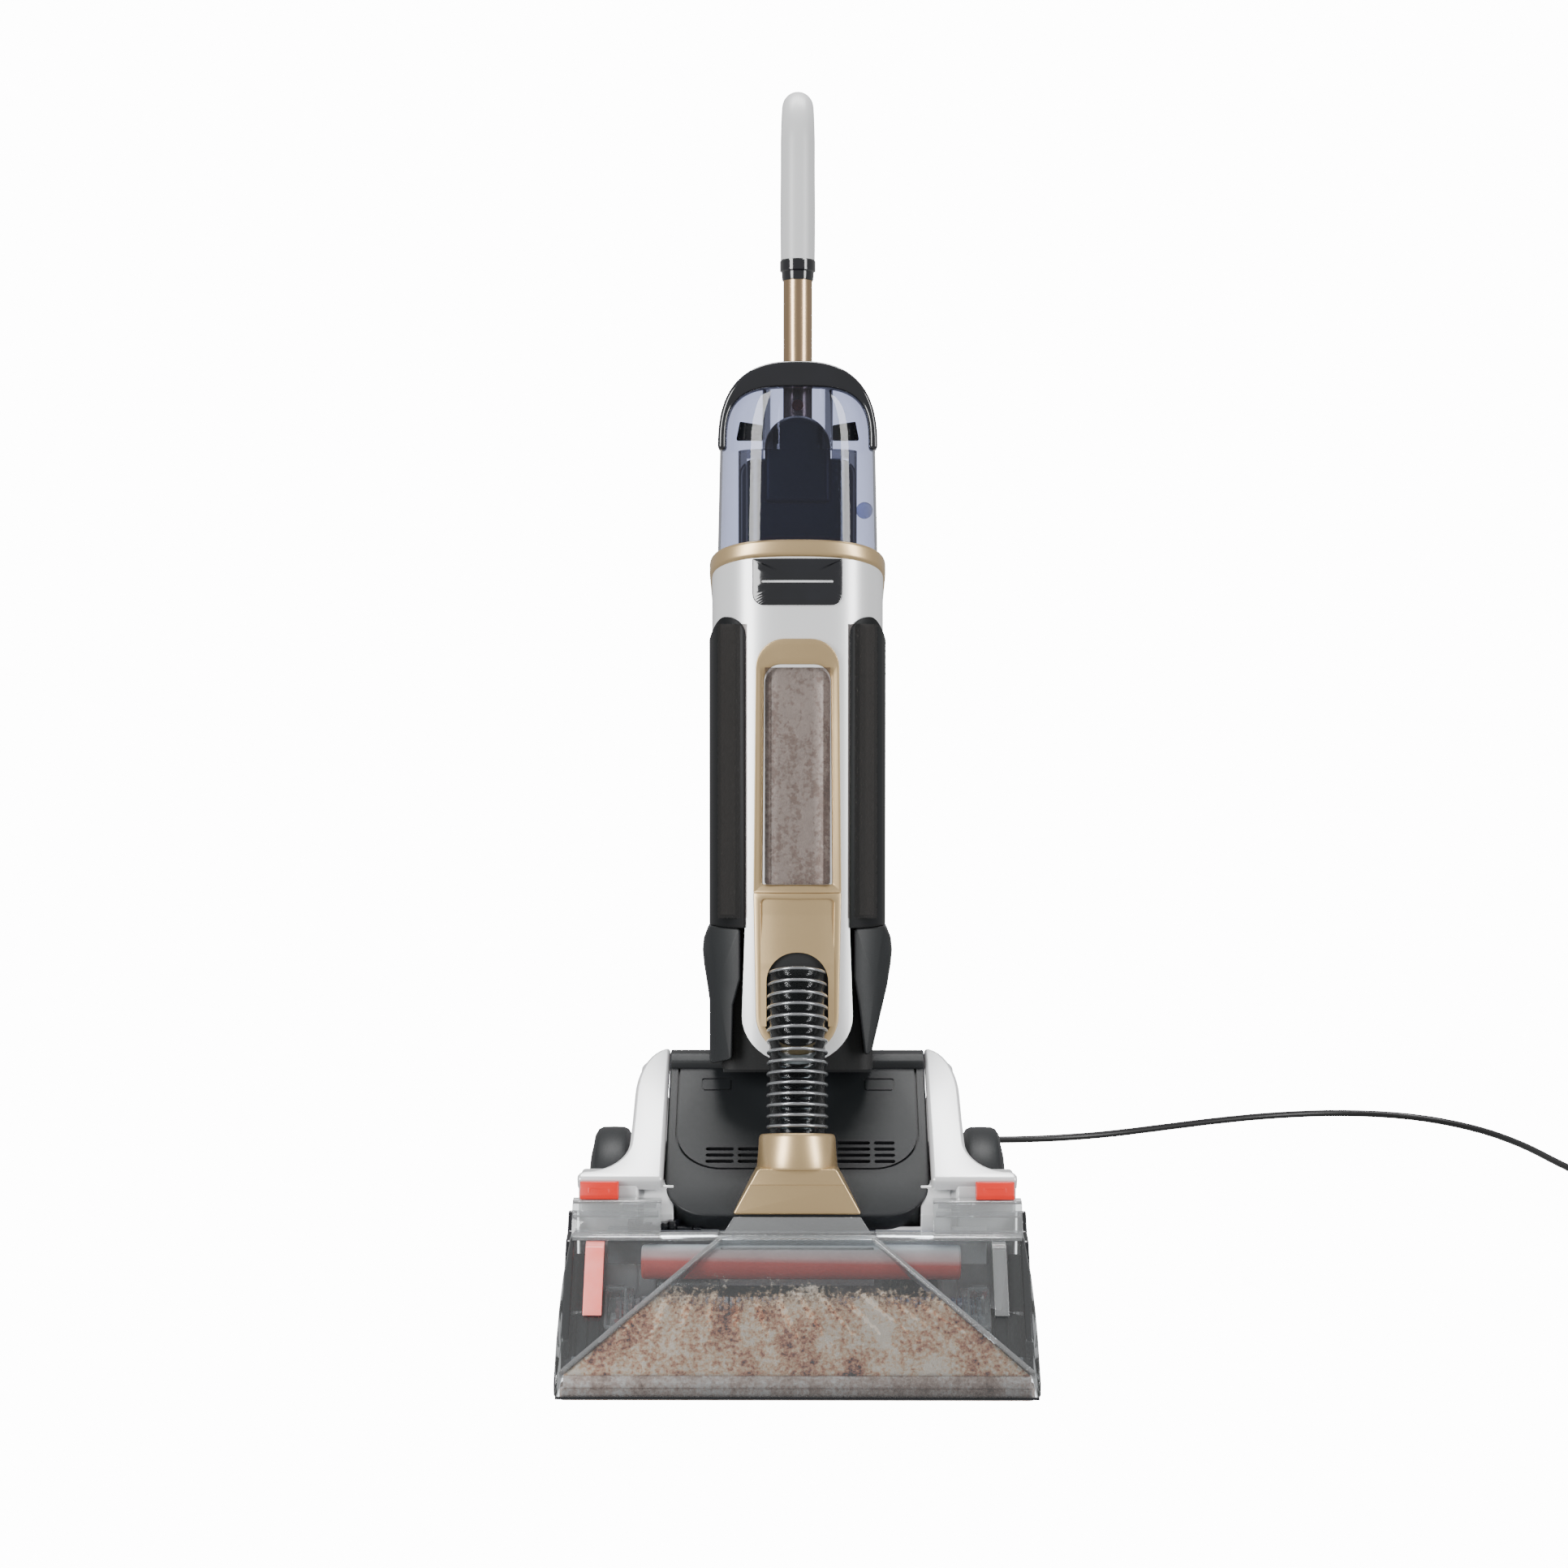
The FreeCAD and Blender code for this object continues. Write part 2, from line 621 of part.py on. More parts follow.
def suction_unit():
    """Suction motor, fan housing with its inlet, and the impeller inside."""
    centre = ("fan_side", "fan_depth", 0)
    motor = cylinder("motor", "motor_radius", "chassis_bottom + wall", 80, "Z", centre)
    bore = cylinder("suction_bore", "shaft_radius + fit_clearance", 60, 81, "Z", centre)
    keep(cut("suction_motor_cut", motor, [bore]), "suction_motor", foot_frame())
    outer = cylinder("housing", "fan_radius", 80, 112, "Z", centre)
    room = cylinder("housing_room", "fan_radius - wall", 83, 109, "Z", centre)
    inlet = cylinder("housing_inlet", 16, 100, 120, "Z", centre)
    seat = cylinder("housing_seat", "shaft_radius + 1", 70, 90, "Z", centre)
    keep(cut("fan_housing_cut", outer, [room, inlet, seat]), "fan_housing", foot_frame())
    disc = cylinder("disc", "impeller_radius", 88, 90, "Z", centre)
    hub = cylinder("hub", 8, 88, 104, "Z", centre)
    shaft = cylinder("fan_shaft", "shaft_radius", 61, 90, "Z", centre)
    vanes = []
    for number in range(6):
        vane = block(f"vane_{number}", (6, "impeller_radius - 2"), (-1, 1), (89, 102))
        angle = Rotation(Vector(0, 0, 1), 60 * number)
        spot = angle.multVec(Vector(6, -1, 89)) + Vector(size("fan_side"), size("fan_depth"), 0)
        for letter in "xyz":
            vane.setExpression("Placement.Base." + letter, None)
        vane.Placement = Placement(spot, angle)
        vanes.append(vane)
    keep(join("impeller_solid", [disc, hub, shaft] + vanes), "fan_impeller", foot_frame())


def hose_plate():
    """Champagne plate over the channel's top, with the collar that the hose pushes into."""
    plate = [(-50, 0), (50, 0), (38, 40), (-38, 40)]
    body = new_body("hose_plate_sheet")
    add_prism(body, "Z", plate, 0, 6)
    hole = cylinder("plate_hole", "hose_radius - 1", -5, 15, "Z", (0, 26, 0))
    plate_frame = foot_frame() * Placement(Vector(0, 99, 121), Rotation(Vector(1, 0, 0), 33))
    keep(cut("plate_cut", body, [hole]), "hose_plate", plate_frame)
    collar = doc.addObject("Part::Cone", "collar_outer")
    collar.setExpression("Radius1", bound("hose_radius + 8.5"))
    collar.setExpression("Radius2", bound("hose_radius + 6"))
    collar.Height = 50
    collar.Placement.Base.z = -16
    bore = cylinder("collar_bore", "hose_radius + 0.3", 20, 40, "Z")
    throat = cylinder("collar_throat", "hose_radius - 4", -20, 21, "Z")
    below = block("below_plate", (-60, 60), (-60, 90), (-60, 6.1))
    for letter in "xyz":
        below.setExpression("Placement.Base." + letter, None)
    below.Placement = collar_frame().inverse() * plate_frame * Placement(Vector(-60, -60, -60), Rotation())
    keep(cut("collar_cut", collar, [bore, throat, below]), "hose_collar", collar_frame())


def collar_frame():
    """The hose collar's axis: z runs up it, leaning back."""
    return foot_frame() * Placement(Vector(0, 123, 142), Rotation(Vector(1, 0, 0), -16))


def suction_hose():
    """Clear hose from the collar up to the scoop, one gentle bend."""
    low = collar_frame()
    start = low.multVec(Vector(0, 0, 22))
    knee = low.multVec(Vector(0, 0, 85))
    top = upright_frame().multVec(Vector(0, -size("body_front") + 10, size("hose_hole_height") + 8))
    path = bent_path([start, knee, top])
    direction = (knee - start).normalize()
    outer = Part.Wire([Part.makeCircle(size("hose_radius"), start, direction)])
    inner = Part.Wire([Part.makeCircle(size("hose_radius") - size("hose_wall"), start, direction)])
    hose = doc.addObject("Part::Feature", "hose_shape")
    tube = path.makePipeShell([outer], True, False).cut(path.makePipeShell([inner], True, False))
    behind = Part.makeBox(200, 200, 200, Vector(-100, -size("body_front") - size("bezel_thick") - 0.4, 60))
    behind.Placement = upright_frame() * behind.Placement
    hose.Shape = tube.cut(behind).Solids[0]
    keep(hose, "suction_hose", Placement())


# ---------------------------------------------------------------- upright body

def roof(depth, extra):
    """Height of the sloping seam under the tank, at a depth behind the recline axis."""
    return (f"band_front + ({extra}) - (band_front - band_back) * (({depth}) + body_front)"
            " / (body_front + body_back)")


def lower_body():
    """Black hips, neck and recline barrel in one moulding."""
    body = new_body("lower_body_moulding")
    hips = [("-body_front + 4", "body_low"), ("-body_front + 4", "hip_top"), ("body_back", "hip_top"),
            ("body_back", "body_low - 20"), ("-neck_front", "body_low + 2")]
    add_prism(body, "X", hips, "-hip_half", "hip_half")
    cut_prism(body, "Z", box(("-(hip_half - wall)", "hip_half - wall"),
                             ("-body_front + 4 + wall", "body_back - wall")),
              "body_low + wall", "hip_top + 5")
    neck = [("-neck_front", 0), ("-neck_front", "body_low"), ("body_back", "body_low"), ("body_back", 0)]
    add_prism(body, "X", neck, "-neck_half", "neck_half")
    barrel = cylinder("barrel", "barrel_radius", "-barrel_half", "barrel_half", "X")
    solid = join("lower_body_solid", [body, barrel])
    cuts = []
    for side, pair in sides():
        low, high = pair("barrel_half - 25", "barrel_half + 1")
        cuts.append(cylinder("barrel_bore_" + side, "pivot_pin_radius + fit_clearance", low, high, "X"))
    cuts.append(cylinder("hip_hose_hole", "hose_radius + 1", "-body_front - 5", "-body_front + 14", "Y",
                         (0, 0, "hose_hole_height")))
    keep(cut("lower_body_cut", solid, cuts), "lower_body", upright_frame())


def shell(label, front, back, low, inner_back, inner_front):
    """A U-shaped casing between two depths, its top following the tank seam."""
    body = new_body(label)
    outline = [(front, low), (front, roof(front, 0)), (back, roof(back, 0)), (back, low)]
    add_prism(body, "X", outline, "-body_half", "body_half")
    cut_prism(body, "Z", box(("-(body_half - wall)", "body_half - wall"), (inner_front, inner_back)),
              f"({low}) - 1", "band_front + 1")
    return body


def casings():
    """White front casing with the window cut-out and apron, and the black rear casing."""
    low = "hip_top + 0.2"
    front = shell("front_shell", "-body_front", "-seam", low, "-seam + 1", "-body_front + wall")
    cut_prism(front, "Y", box(("-window_half", "window_half"), ("window_low", "window_high")),
              "-body_front - 1", "-body_front + wall + 1")
    apron = [(-34, "body_low"), (34, "body_low"), ("pad_inner", "body_low + 22"), ("pad_inner", low),
             ("-pad_inner", low), ("-pad_inner", "body_low + 22")]
    apron[3] = ("pad_inner", f"{low} + 5")
    apron[4] = ("-pad_inner", f"{low} + 5")
    add_prism(front, "Y", apron, "-body_front", "-body_front + 3.8")
    ring = [("-hose_radius - 1", "hose_hole_height - hose_radius"),
            ("hose_radius + 1", "hose_hole_height - hose_radius"),
            ("hose_radius + 1", "hose_hole_height + hose_radius"),
            ("-hose_radius - 1", "hose_hole_height + hose_radius")]
    cut_prism(front, "Y", ring, "-body_front - 1", "-body_front + 5")
    keep(front, "front_shell", upright_frame())
    rear = shell("rear_shell", "-seam + 0.2", "body_back", low, "body_back - wall", "-seam - 1")
    cut_prism(rear, "Y", box(("-switch_half - gap", "switch_half + gap"),
                             ("switch_low - gap", "switch_low + 20 + gap")), "body_back - 5", "body_back + 1")
    keep(rear, "rear_shell", upright_frame())


def side_pads():
    """Dark grip pads over the front corners."""
    pads = []
    for side, pair in sides():
        body = new_body("side_pad_" + side)
        face = pair("pad_inner", "body_half + pad_thick")
        wrap = pair("body_half + 0.2", "body_half + pad_thick")
        add_prism(body, "Y", box(face, ("hip_top + 0.4", "pad_top")), "-body_front - pad_thick",
                  "-body_front - 0.2")
        add_prism(body, "Y", box(wrap, ("hip_top + 0.4", "pad_top - 20")), "-body_front - pad_thick",
                  "-seam")
        pads.append(body)
    keep(group("side_pad_group", pads), "side_pads", upright_frame())


def front_trim():
    """Champagne bezel round the window, scoop panel, clear window and dark badge."""
    face = ("-body_front - bezel_thick", "-body_front - 0.2")
    frame = new_body("window_frame")
    add_prism(frame, "Y", box(("-bezel_half", "bezel_half"), ("bezel_split", "bezel_top")), *face)
    cut_prism(frame, "Y", box(("-window_half", "window_half"), ("window_low", "window_high")),
              "-body_front - bezel_thick - 1", "-body_front + 1")
    keep(frame, "window_frame", upright_frame())
    pane = box(("-window_half + 0.1", "window_half - 0.1"), ("window_low + 0.1", "window_high - 0.1"))
    prism("tank_window", upright_frame(), "Y", pane, "-body_front - 2.5", "-body_front + 0.5")
    scoop = new_body("scoop_panel_plate")
    panel = [(-30, "body_low + 2"), (30, "body_low + 2"), ("bezel_half", "body_low + 14"),
             ("bezel_half", "bezel_split - 0.2"), ("-bezel_half", "bezel_split - 0.2"),
             ("-bezel_half", "body_low + 14")]
    add_prism(scoop, "Y", panel, *face)
    mouth = cylinder("mouth", "hose_radius + 1", "-body_front - 10", "-body_front + 5", "Y",
                     (0, 0, "hose_hole_height"))
    keep(cut("scoop_cut", scoop, [mouth]), "scoop_panel", upright_frame())
    plate = box((-36.4, 36.4), (475, "band_front - 1"))
    prism("badge_plate", upright_frame(), "Y", plate, "-body_front - 3", "-body_front - 0.2")


def gold_band():
    """Champagne band that the clean tank stands on, sloping down to the back."""
    body = new_body("gold_band")
    front = "-body_front - 2"
    back = "body_back"
    outline = [(front, roof(front, 0.2)), (front, roof(front, "band_thick")),
               (back, roof(back, "band_thick")), (back, roof(back, 0.2))]
    add_prism(body, "X", outline, "-(body_half + 2)", "body_half + 2")
    round_edges(body, 12, along("Z", 5))
    keep(body, "gold_band", upright_frame())


def recovery_tank():
    """Dirty water tank inside the casing, with its shut-off float in a cage."""
    body = new_body("recovery_tank")
    outer = box(("-(body_half - wall - 3)", "body_half - wall - 3"), ("-body_front + 6", "body_back - 6"))
    inner = box(("-(body_half - wall - 5.5)", "body_half - wall - 5.5"),
                ("-body_front + 8.5", "body_back - 8.5"))
    add_prism(body, "Z", outer, "hip_top + 8", "band_back - 14")
    cut_prism(body, "Z", inner, "hip_top + 10.5", "band_back + 5")
    keep(body, "recovery_tank", upright_frame())
    outer_cage = cylinder("cage_outer", 18, "band_back - 84", "band_back - 14", "Z", (30, -70, 0))
    inner_cage = cylinder("cage_inner", 16, "band_back - 82", "band_back + 1", "Z", (30, -70, 0))
    slots = [block("cage_slot_x", (5, 55), (-74, -66), ("band_back - 78", "band_back - 22")),
             block("cage_slot_y", (26, 34), (-95, -45), ("band_back - 78", "band_back - 22"))]
    keep(cut("cage_cut", outer_cage, [inner_cage] + slots), "float_cage", upright_frame())
    ball = cylinder("float_body", 13, "band_back - 81.5", "band_back - 50", "Z", (30, -70, 0))
    keep(ball, "shutoff_float", upright_frame())


def handle_column():
    """Dark socket column behind the tank, with shoulders, tube bore and button recess."""
    body = new_body("column_moulding")
    low = "band_front - 8"
    centre = [("-column_half", low), ("column_half", low), ("column_half", "column_top - 16"),
              ("column_half - 12", "column_top"), ("-(column_half - 12)", "column_top"),
              ("-column_half", "column_top - 16")]
    shoulder = [("-shoulder_half", low), ("shoulder_half", low), ("shoulder_half", "shoulder_top - 14"),
                ("shoulder_half - 14", "shoulder_top"), ("-(shoulder_half - 14)", "shoulder_top"),
                ("-shoulder_half", "shoulder_top - 14")]
    add_prism(body, "Y", centre, "-column_front", -14)
    add_prism(body, "Y", shoulder, "-column_front + 4", -10)
    cut_prism(body, "Y", box((-15, 15), ("column_top - 34", "column_top - 3")), "-column_front - 1",
              "-column_front + 7")
    slope = [("-column_front - 5", 400), ("-column_front - 5", roof("-column_front - 5", "band_thick + 0.2")),
             (0, roof(0, "band_thick + 0.2")), (0, 400)]
    cut_prism(body, "X", slope, "-80", "80")
    bore = cylinder("column_bore", "tube_radius + 0.1", "tube_low", 700, "Z", (0, "-tube_offset", 0))
    keep(cut("column_cut", body, [bore]), "handle_column", upright_frame())
    button = new_body("tank_release_button")
    add_prism(button, "Y", box((-14, 14), ("column_top - 33", "column_top - 4")), "-column_front - 2.5",
              "-column_front + 3.5")
    round_edges(button, 6, along("Y", 3))
    keep(button, "tank_release_button", upright_frame())


# ---------------------------------------------------------------- clean tank

def clean_tank():
    """Smoked tank: a U in plan round the column, and an arched front under the black arch."""
    front = "-tank_front"
    rear = "body_back - 6"
    slot = "-column_front - 4"
    body = new_body("clean_tank")
    low = "band_thick + 0.4"
    side_view = [(front, roof(front, low)), (front, "tank_split"), (rear, "tank_split"),
                 (rear, roof(rear, low))]
    add_prism(body, "X", side_view, "-tank_half", "tank_half")
    round_edges(body, 14, along("Z", 40))
    arch = [("-(tank_half - 16)", "tank_split - 1"), ("tank_half - 16", "tank_split - 1"),
            ("tank_half - 16", "tank_split + 17"), ("tank_half - 26", "tank_window_top - 8"),
            ("tank_half - 40", "tank_window_top"), ("-(tank_half - 40)", "tank_window_top"),
            ("-(tank_half - 26)", "tank_window_top - 8"), ("-(tank_half - 16)", "tank_split + 17")]
    add_prism(body, "Y", arch, f"{front} + 3", slot)
    cut_prism(body, "Z", box(("-(shoulder_half + 2)", "shoulder_half + 2"), (slot, "body_back + 5")),
              450, "tank_split + 5")
    thin = "tank_wall"
    lower = f"{low} + {thin}"
    hollow = [(f"{front} + {thin}", roof(f"{front} + {thin}", lower)), (f"{front} + {thin}", "tank_split - 5"),
              (f"{slot} - {thin}", "tank_split - 5"), (f"{slot} - {thin}", roof(f"{slot} - {thin}", lower))]
    cut_prism(body, "X", hollow, "-(tank_half - tank_wall)", "tank_half - tank_wall")
    arm = [(f"{slot} - 4", roof(f"{slot} - 4", lower)), (f"{slot} - 4", "tank_split - 5"),
           (f"{rear} - {thin}", "tank_split - 5"), (f"{rear} - {thin}", roof(f"{rear} - {thin}", lower))]
    for _, pair in sides():
        near, far = pair("shoulder_half + 2 + tank_wall", "tank_half - tank_wall")
        cut_prism(body, "X", arm, near, far)
    room = [(f"-(tank_half - 16 - {thin})", "tank_split - 8"), (f"tank_half - 16 - {thin}", "tank_split - 8"),
            (f"tank_half - 16 - {thin}", "tank_split + 16"), (f"tank_half - 27 - {thin}", "tank_window_top - 11"),
            ("tank_half - 42", f"tank_window_top - {thin}"), ("-(tank_half - 42)", f"tank_window_top - {thin}"),
            (f"-(tank_half - 27 - {thin})", "tank_window_top - 11"), (f"-(tank_half - 16 - {thin})", "tank_split + 16")]
    cut_prism(body, "Y", room, f"{front} + 3 + {thin}", f"{slot} - {thin}")
    keep(body, "clean_tank", upright_frame())
    ring = new_body("tank_arch")
    outer = [("-(tank_half - 2)", "tank_split + 0.3"), ("-(tank_half - 3)", "tank_split + 17"),
             ("-(tank_half - 15)", "arch_top - 16"), ("-(tank_half - 34)", "arch_top"),
             ("tank_half - 34", "arch_top"), ("tank_half - 15", "arch_top - 16"),
             ("tank_half - 3", "tank_split + 17"), ("tank_half - 2", "tank_split + 0.3"),
             ("tank_half - 15.7", "tank_split + 0.3"), ("tank_half - 15.7", "tank_split + 17.2"),
             ("tank_half - 25.8", "tank_window_top - 7.6"), ("tank_half - 39.8", "tank_window_top + 0.4"),
             ("-(tank_half - 39.8)", "tank_window_top + 0.4"), ("-(tank_half - 25.8)", "tank_window_top - 7.6"),
             ("-(tank_half - 15.7)", "tank_split + 17.2"), ("-(tank_half - 15.7)", "tank_split + 0.3")]
    add_prism(ring, "Y", outer, front, f"{slot} + 0.5")
    keep(ring, "tank_arch", upright_frame())
    cap = cylinder("cap_disc", 7, f"{rear} + 0.3", f"{rear} + 5", "Y", (57, 0, 560))
    keep(cap, "fill_cap", upright_frame())


# ---------------------------------------------------------------- handle

def handle():
    """Champagne tube with its snap button, black collar, light grip and trigger."""
    centre = (0, "-tube_offset", 0)
    tube = cylinder("tube_outer", "tube_radius", "tube_low", "tube_top", "Z", centre)
    bore = cylinder("tube_bore", "tube_radius - tube_wall", "tube_low - 1", "tube_top + 1", "Z", centre)
    port = cylinder("tube_port", 4.8, "-tube_offset - 20", "-tube_offset - 2", "Y",
                    (0, 0, "column_top + 10"))
    keep(cut("tube_cut", tube, [bore, port]), "handle_tube", upright_frame())
    snap = cylinder("snap", 4.6, "-tube_offset - 15", "-tube_offset - 7", "Y", (0, 0, "column_top + 10"))
    keep(snap, "tube_button", upright_frame())
    sleeve = cylinder("sleeve", "collar_radius", "tube_top - 12", "grip_low - 0.2", "Z", centre)
    inside = cylinder("sleeve_bore", "tube_radius + 0.02", "tube_top - 13", "tube_top", "Z", centre)
    keep(cut("collar_ring", sleeve, [inside]), "tube_collar", upright_frame())
    grip = new_body("grip")
    front = "-tube_offset - grip_half"
    loop = [(front, "grip_low"), ("-tube_offset + grip_half", "grip_low"), (30, "grip_low + 46"),
            (34, "grip_top - 34"), (14, "grip_top - 6"), (-14, "grip_top"), (f"{front} + 8", "grip_top"),
            (front, "grip_top - 10")]
    hole = [("-tube_offset + 10", "grip_low + 34"), ("-tube_offset + 20", "grip_low + 34"),
            (10, "grip_low + 56"), (12, "grip_top - 38"), (2, "grip_top - 26"),
            ("-tube_offset + 12", "grip_top - 22")]
    add_prism(grip, "X", loop, "-grip_half", "grip_half")
    round_edges(grip, 9, lambda edge: edge.BoundBox.XLength < 0.01)
    cut_prism(grip, "X", hole, "-grip_half - 1", "grip_half + 1")
    pocket = [(9, "grip_low + 70"), (18, "grip_low + 70"), (18, "grip_top - 50"), (9, "grip_top - 50")]
    cut_prism(grip, "X", pocket, -6, 6)
    keep(grip, "grip", upright_frame())
    lever = [(4, "grip_low + 71"), (13, "grip_low + 71"), (14, "grip_top - 51"), (9, "grip_top - 51")]
    prism("trigger", upright_frame(), "X", lever, -5.5, 5.5)


def rear_fittings():
    """Cord hooks, power switch and casing screws on the upright's back."""
    for label, level, up in (("cord_hook_upper", 420, 1), ("cord_hook_lower", 250, -1)):
        body = new_body(label)
        add_prism(body, "Y", box((-9, 9), (level - 7, level + 7)), "body_back + 0.3", "body_back + 26")
        low, high = sorted((level - 7 * up, level + 36 * up))
        add_prism(body, "Y", box((-16, 16), (low, high)), "body_back + 26", "body_back + 32")
        keep(body, label, upright_frame())
    button = box(("-switch_half", "switch_half"), ("switch_low", "switch_low + 20"))
    prism("power_switch", upright_frame(), "Y", button, "body_back - 2.6", "body_back + 3")
    screws = []
    for number, (across, up) in enumerate(((-58, 240), (58, 240), (-58, 440), (58, 440))):
        screws.append(cylinder(f"casing_screw_{number}", 4, "body_back + 0.1", "body_back + 2", "Y",
                               (across, 0, up)))
    keep(group("casing_screw_group", screws), "casing_screws", upright_frame())


def latches():
    """Red slide latches on the nozzle's two ledges."""
    for side, pair in sides():
        body = new_body("nozzle_latch_" + side)
        low, high = pair("latch_inner", "latch_inner + latch_width")
        add_prism(body, "X", box(("nozzle_reach + 17", "arm_front + 8"),
                                 ("nozzle_rise + ledge_rise + 0.4", "nozzle_rise + ledge_rise + 12")),
                  low, high)
        round_edges(body, 2, along("X", 10))
        keep(body, "nozzle_latch_" + side, foot_frame())


# ---------------------------------------------------------------- mains cord

def bent_path(route):
    """Straight runs joined by tangent arcs, each as large as its two runs allow."""
    edges = []
    start = route[0]
    for before, point, after in zip(route, route[1:], route[2:]):
        into = point - before
        out = after - point
        turn = into.getAngle(out)
        back = 0.45 * min(into.Length, out.Length)
        radius = back / math.tan(turn / 2)
        print(f"bend radius {radius:.0f}")
        into = into.normalize()
        out = out.normalize()
        first = point - into * back
        last = point + out * back
        towards = (out - into).normalize()
        middle = point + towards * (radius / math.cos(turn / 2) - radius)
        edges.append(Part.LineSegment(start, first).toShape())
        edges.append(Part.Arc(first, middle, last).toShape())
        start = last
    edges.append(Part.LineSegment(start, route[-1]).toShape())
    return Part.Wire(edges)


def cord():
    """Mains cord along the floor, its coil and plug, and the strain relief it leaves by."""
    radius = size("cord_radius")
    frame = foot_frame()
    rest = radius + 0.1
    points = [(70, 371.4, 24), (71, 402, 20), (73, 440, 8), (75, 484, rest), (70, 540, rest),
              (66, 604, rest), (76, 676, rest), (112, 744, rest), (172, 786, rest), (246, 788, rest),
              (318, 806, rest), (384, 838, rest), (451, 871, rest), (521, 897, rest), (594, 908, rest),
              (665, 893, rest), (720, 842, rest), (752, 772, rest), (768, 696, rest),
              (786, 630, rest), (812, 580, rest)]
    route = [frame.multVec(Vector(*point)) for point in points]
    path = bent_path(route)
    direction = (route[1] - route[0]).normalize()
    ring = Part.Wire([Part.makeCircle(radius, route[0], direction)])
    tube = doc.addObject("Part::Feature", "cord_shape")
    tube.Shape = path.makePipeShell([ring], True, False)
    print(f"cord run {path.Length:.0f} mm, volume {tube.Shape.Volume:.0f},"
          f" section times length {math.pi * radius ** 2 * path.Length:.0f}")
    keep(tube, "power_cord", Placement())
    relief = doc.addObject("Part::Cone", "relief_cone")
    relief.Radius1 = 8
    relief.Radius2 = 4.6
    relief.Height = 28
    bore = cylinder("relief_bore", "cord_radius + 0.02", 25, 30, "Z")
    start = frame.multVec(Vector(*points[0]))
    turn = Rotation(Vector(0, 0, 1), direction)
    place = Placement(start - direction * 25, turn)
    solid = cut("relief_cut", relief, [bore])
    keep(solid, "strain_relief", place)
    coil = new_body("cord_coil")
    inner = "coil_radius - coil_half"
    outer = "coil_radius + coil_half"
    outline = [(inner, 6), (f"{inner} + 6", 0), (f"{outer} - 6", 0), (outer, 6), (outer, "2 * coil_half - 6"),
               (f"{outer} - 6", "2 * coil_half"), (f"{inner} + 6", "2 * coil_half"),
               (inner, "2 * coil_half - 6")]
    sketch = draw(coil, "Y", outline, 0)
    turned = coil.newObject("PartDesign::Revolution", "coil_turn")
    turned.Profile = sketch
    turned.ReferenceAxis = (sketch, ["V_Axis"])
    turned.Angle = 360
    centre = Vector(865, 552, 0.1)
    keep(coil, "cord_coil", frame * Placement(centre, Rotation()))
    body = block("plug_body", (-13, 13), (0, 34), (-8, 8))
    pins = [block(f"plug_pin_{number}", (offset - 0.8, offset + 0.8), (33, 51), (-3.2, 3.2))
            for number, offset in ((0, -6.35), (1, 6.35))]
    neck = cylinder("plug_neck", 5, -22, 1, "Y")
    plug = join("plug_solid", [body, neck] + pins)
    beside = centre + Vector(56.4, size("coil_radius") + size("coil_half") + 22, 8.2)
    keep(plug, "cord_plug", frame * Placement(beside, Rotation()))


def build():
    nozzle_cover()
    suction_channel()
    suction_lip()
    end_plates()
    belt_guards()
    brush()
    brush_drive()
    spray_parts()
    base_plate()
    motor_cover()
    fenders()
    wheels()
    pivot_pins()
    suction_unit()
    hose_plate()
    suction_hose()
    lower_body()
    casings()
    side_pads()
    front_trim()
    gold_band()
    recovery_tank()
    handle_column()
    clean_tank()
    handle()
    rear_fittings()
    latches()
    cord()


def check_and_write():
    """Stop on anything that failed, then write each sub-part's file."""
    doc.recompute()
    for item in doc.Objects:
        if "Invalid" in item.State or "Error" in item.State:
            raise RuntimeError(f"{item.Name} failed: {item.State}")
    for part in parts:
        if part.Shape.isNull() or not part.Shape.isValid() or not part.Shape.Solids:
            raise RuntimeError(part.Label + " has no valid solid")
    os.makedirs("parts", exist_ok=True)
    for part in parts:
        part.Shape.exportStep(f"parts/{part.Label}.step")
    print(len(parts), "sub-parts written")


build()
check_and_write()
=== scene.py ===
import json
import math
import random

import bmesh
import bpy
from bpy.props import FloatProperty, FloatVectorProperty, IntProperty, PointerProperty
from mathutils import Matrix, Vector


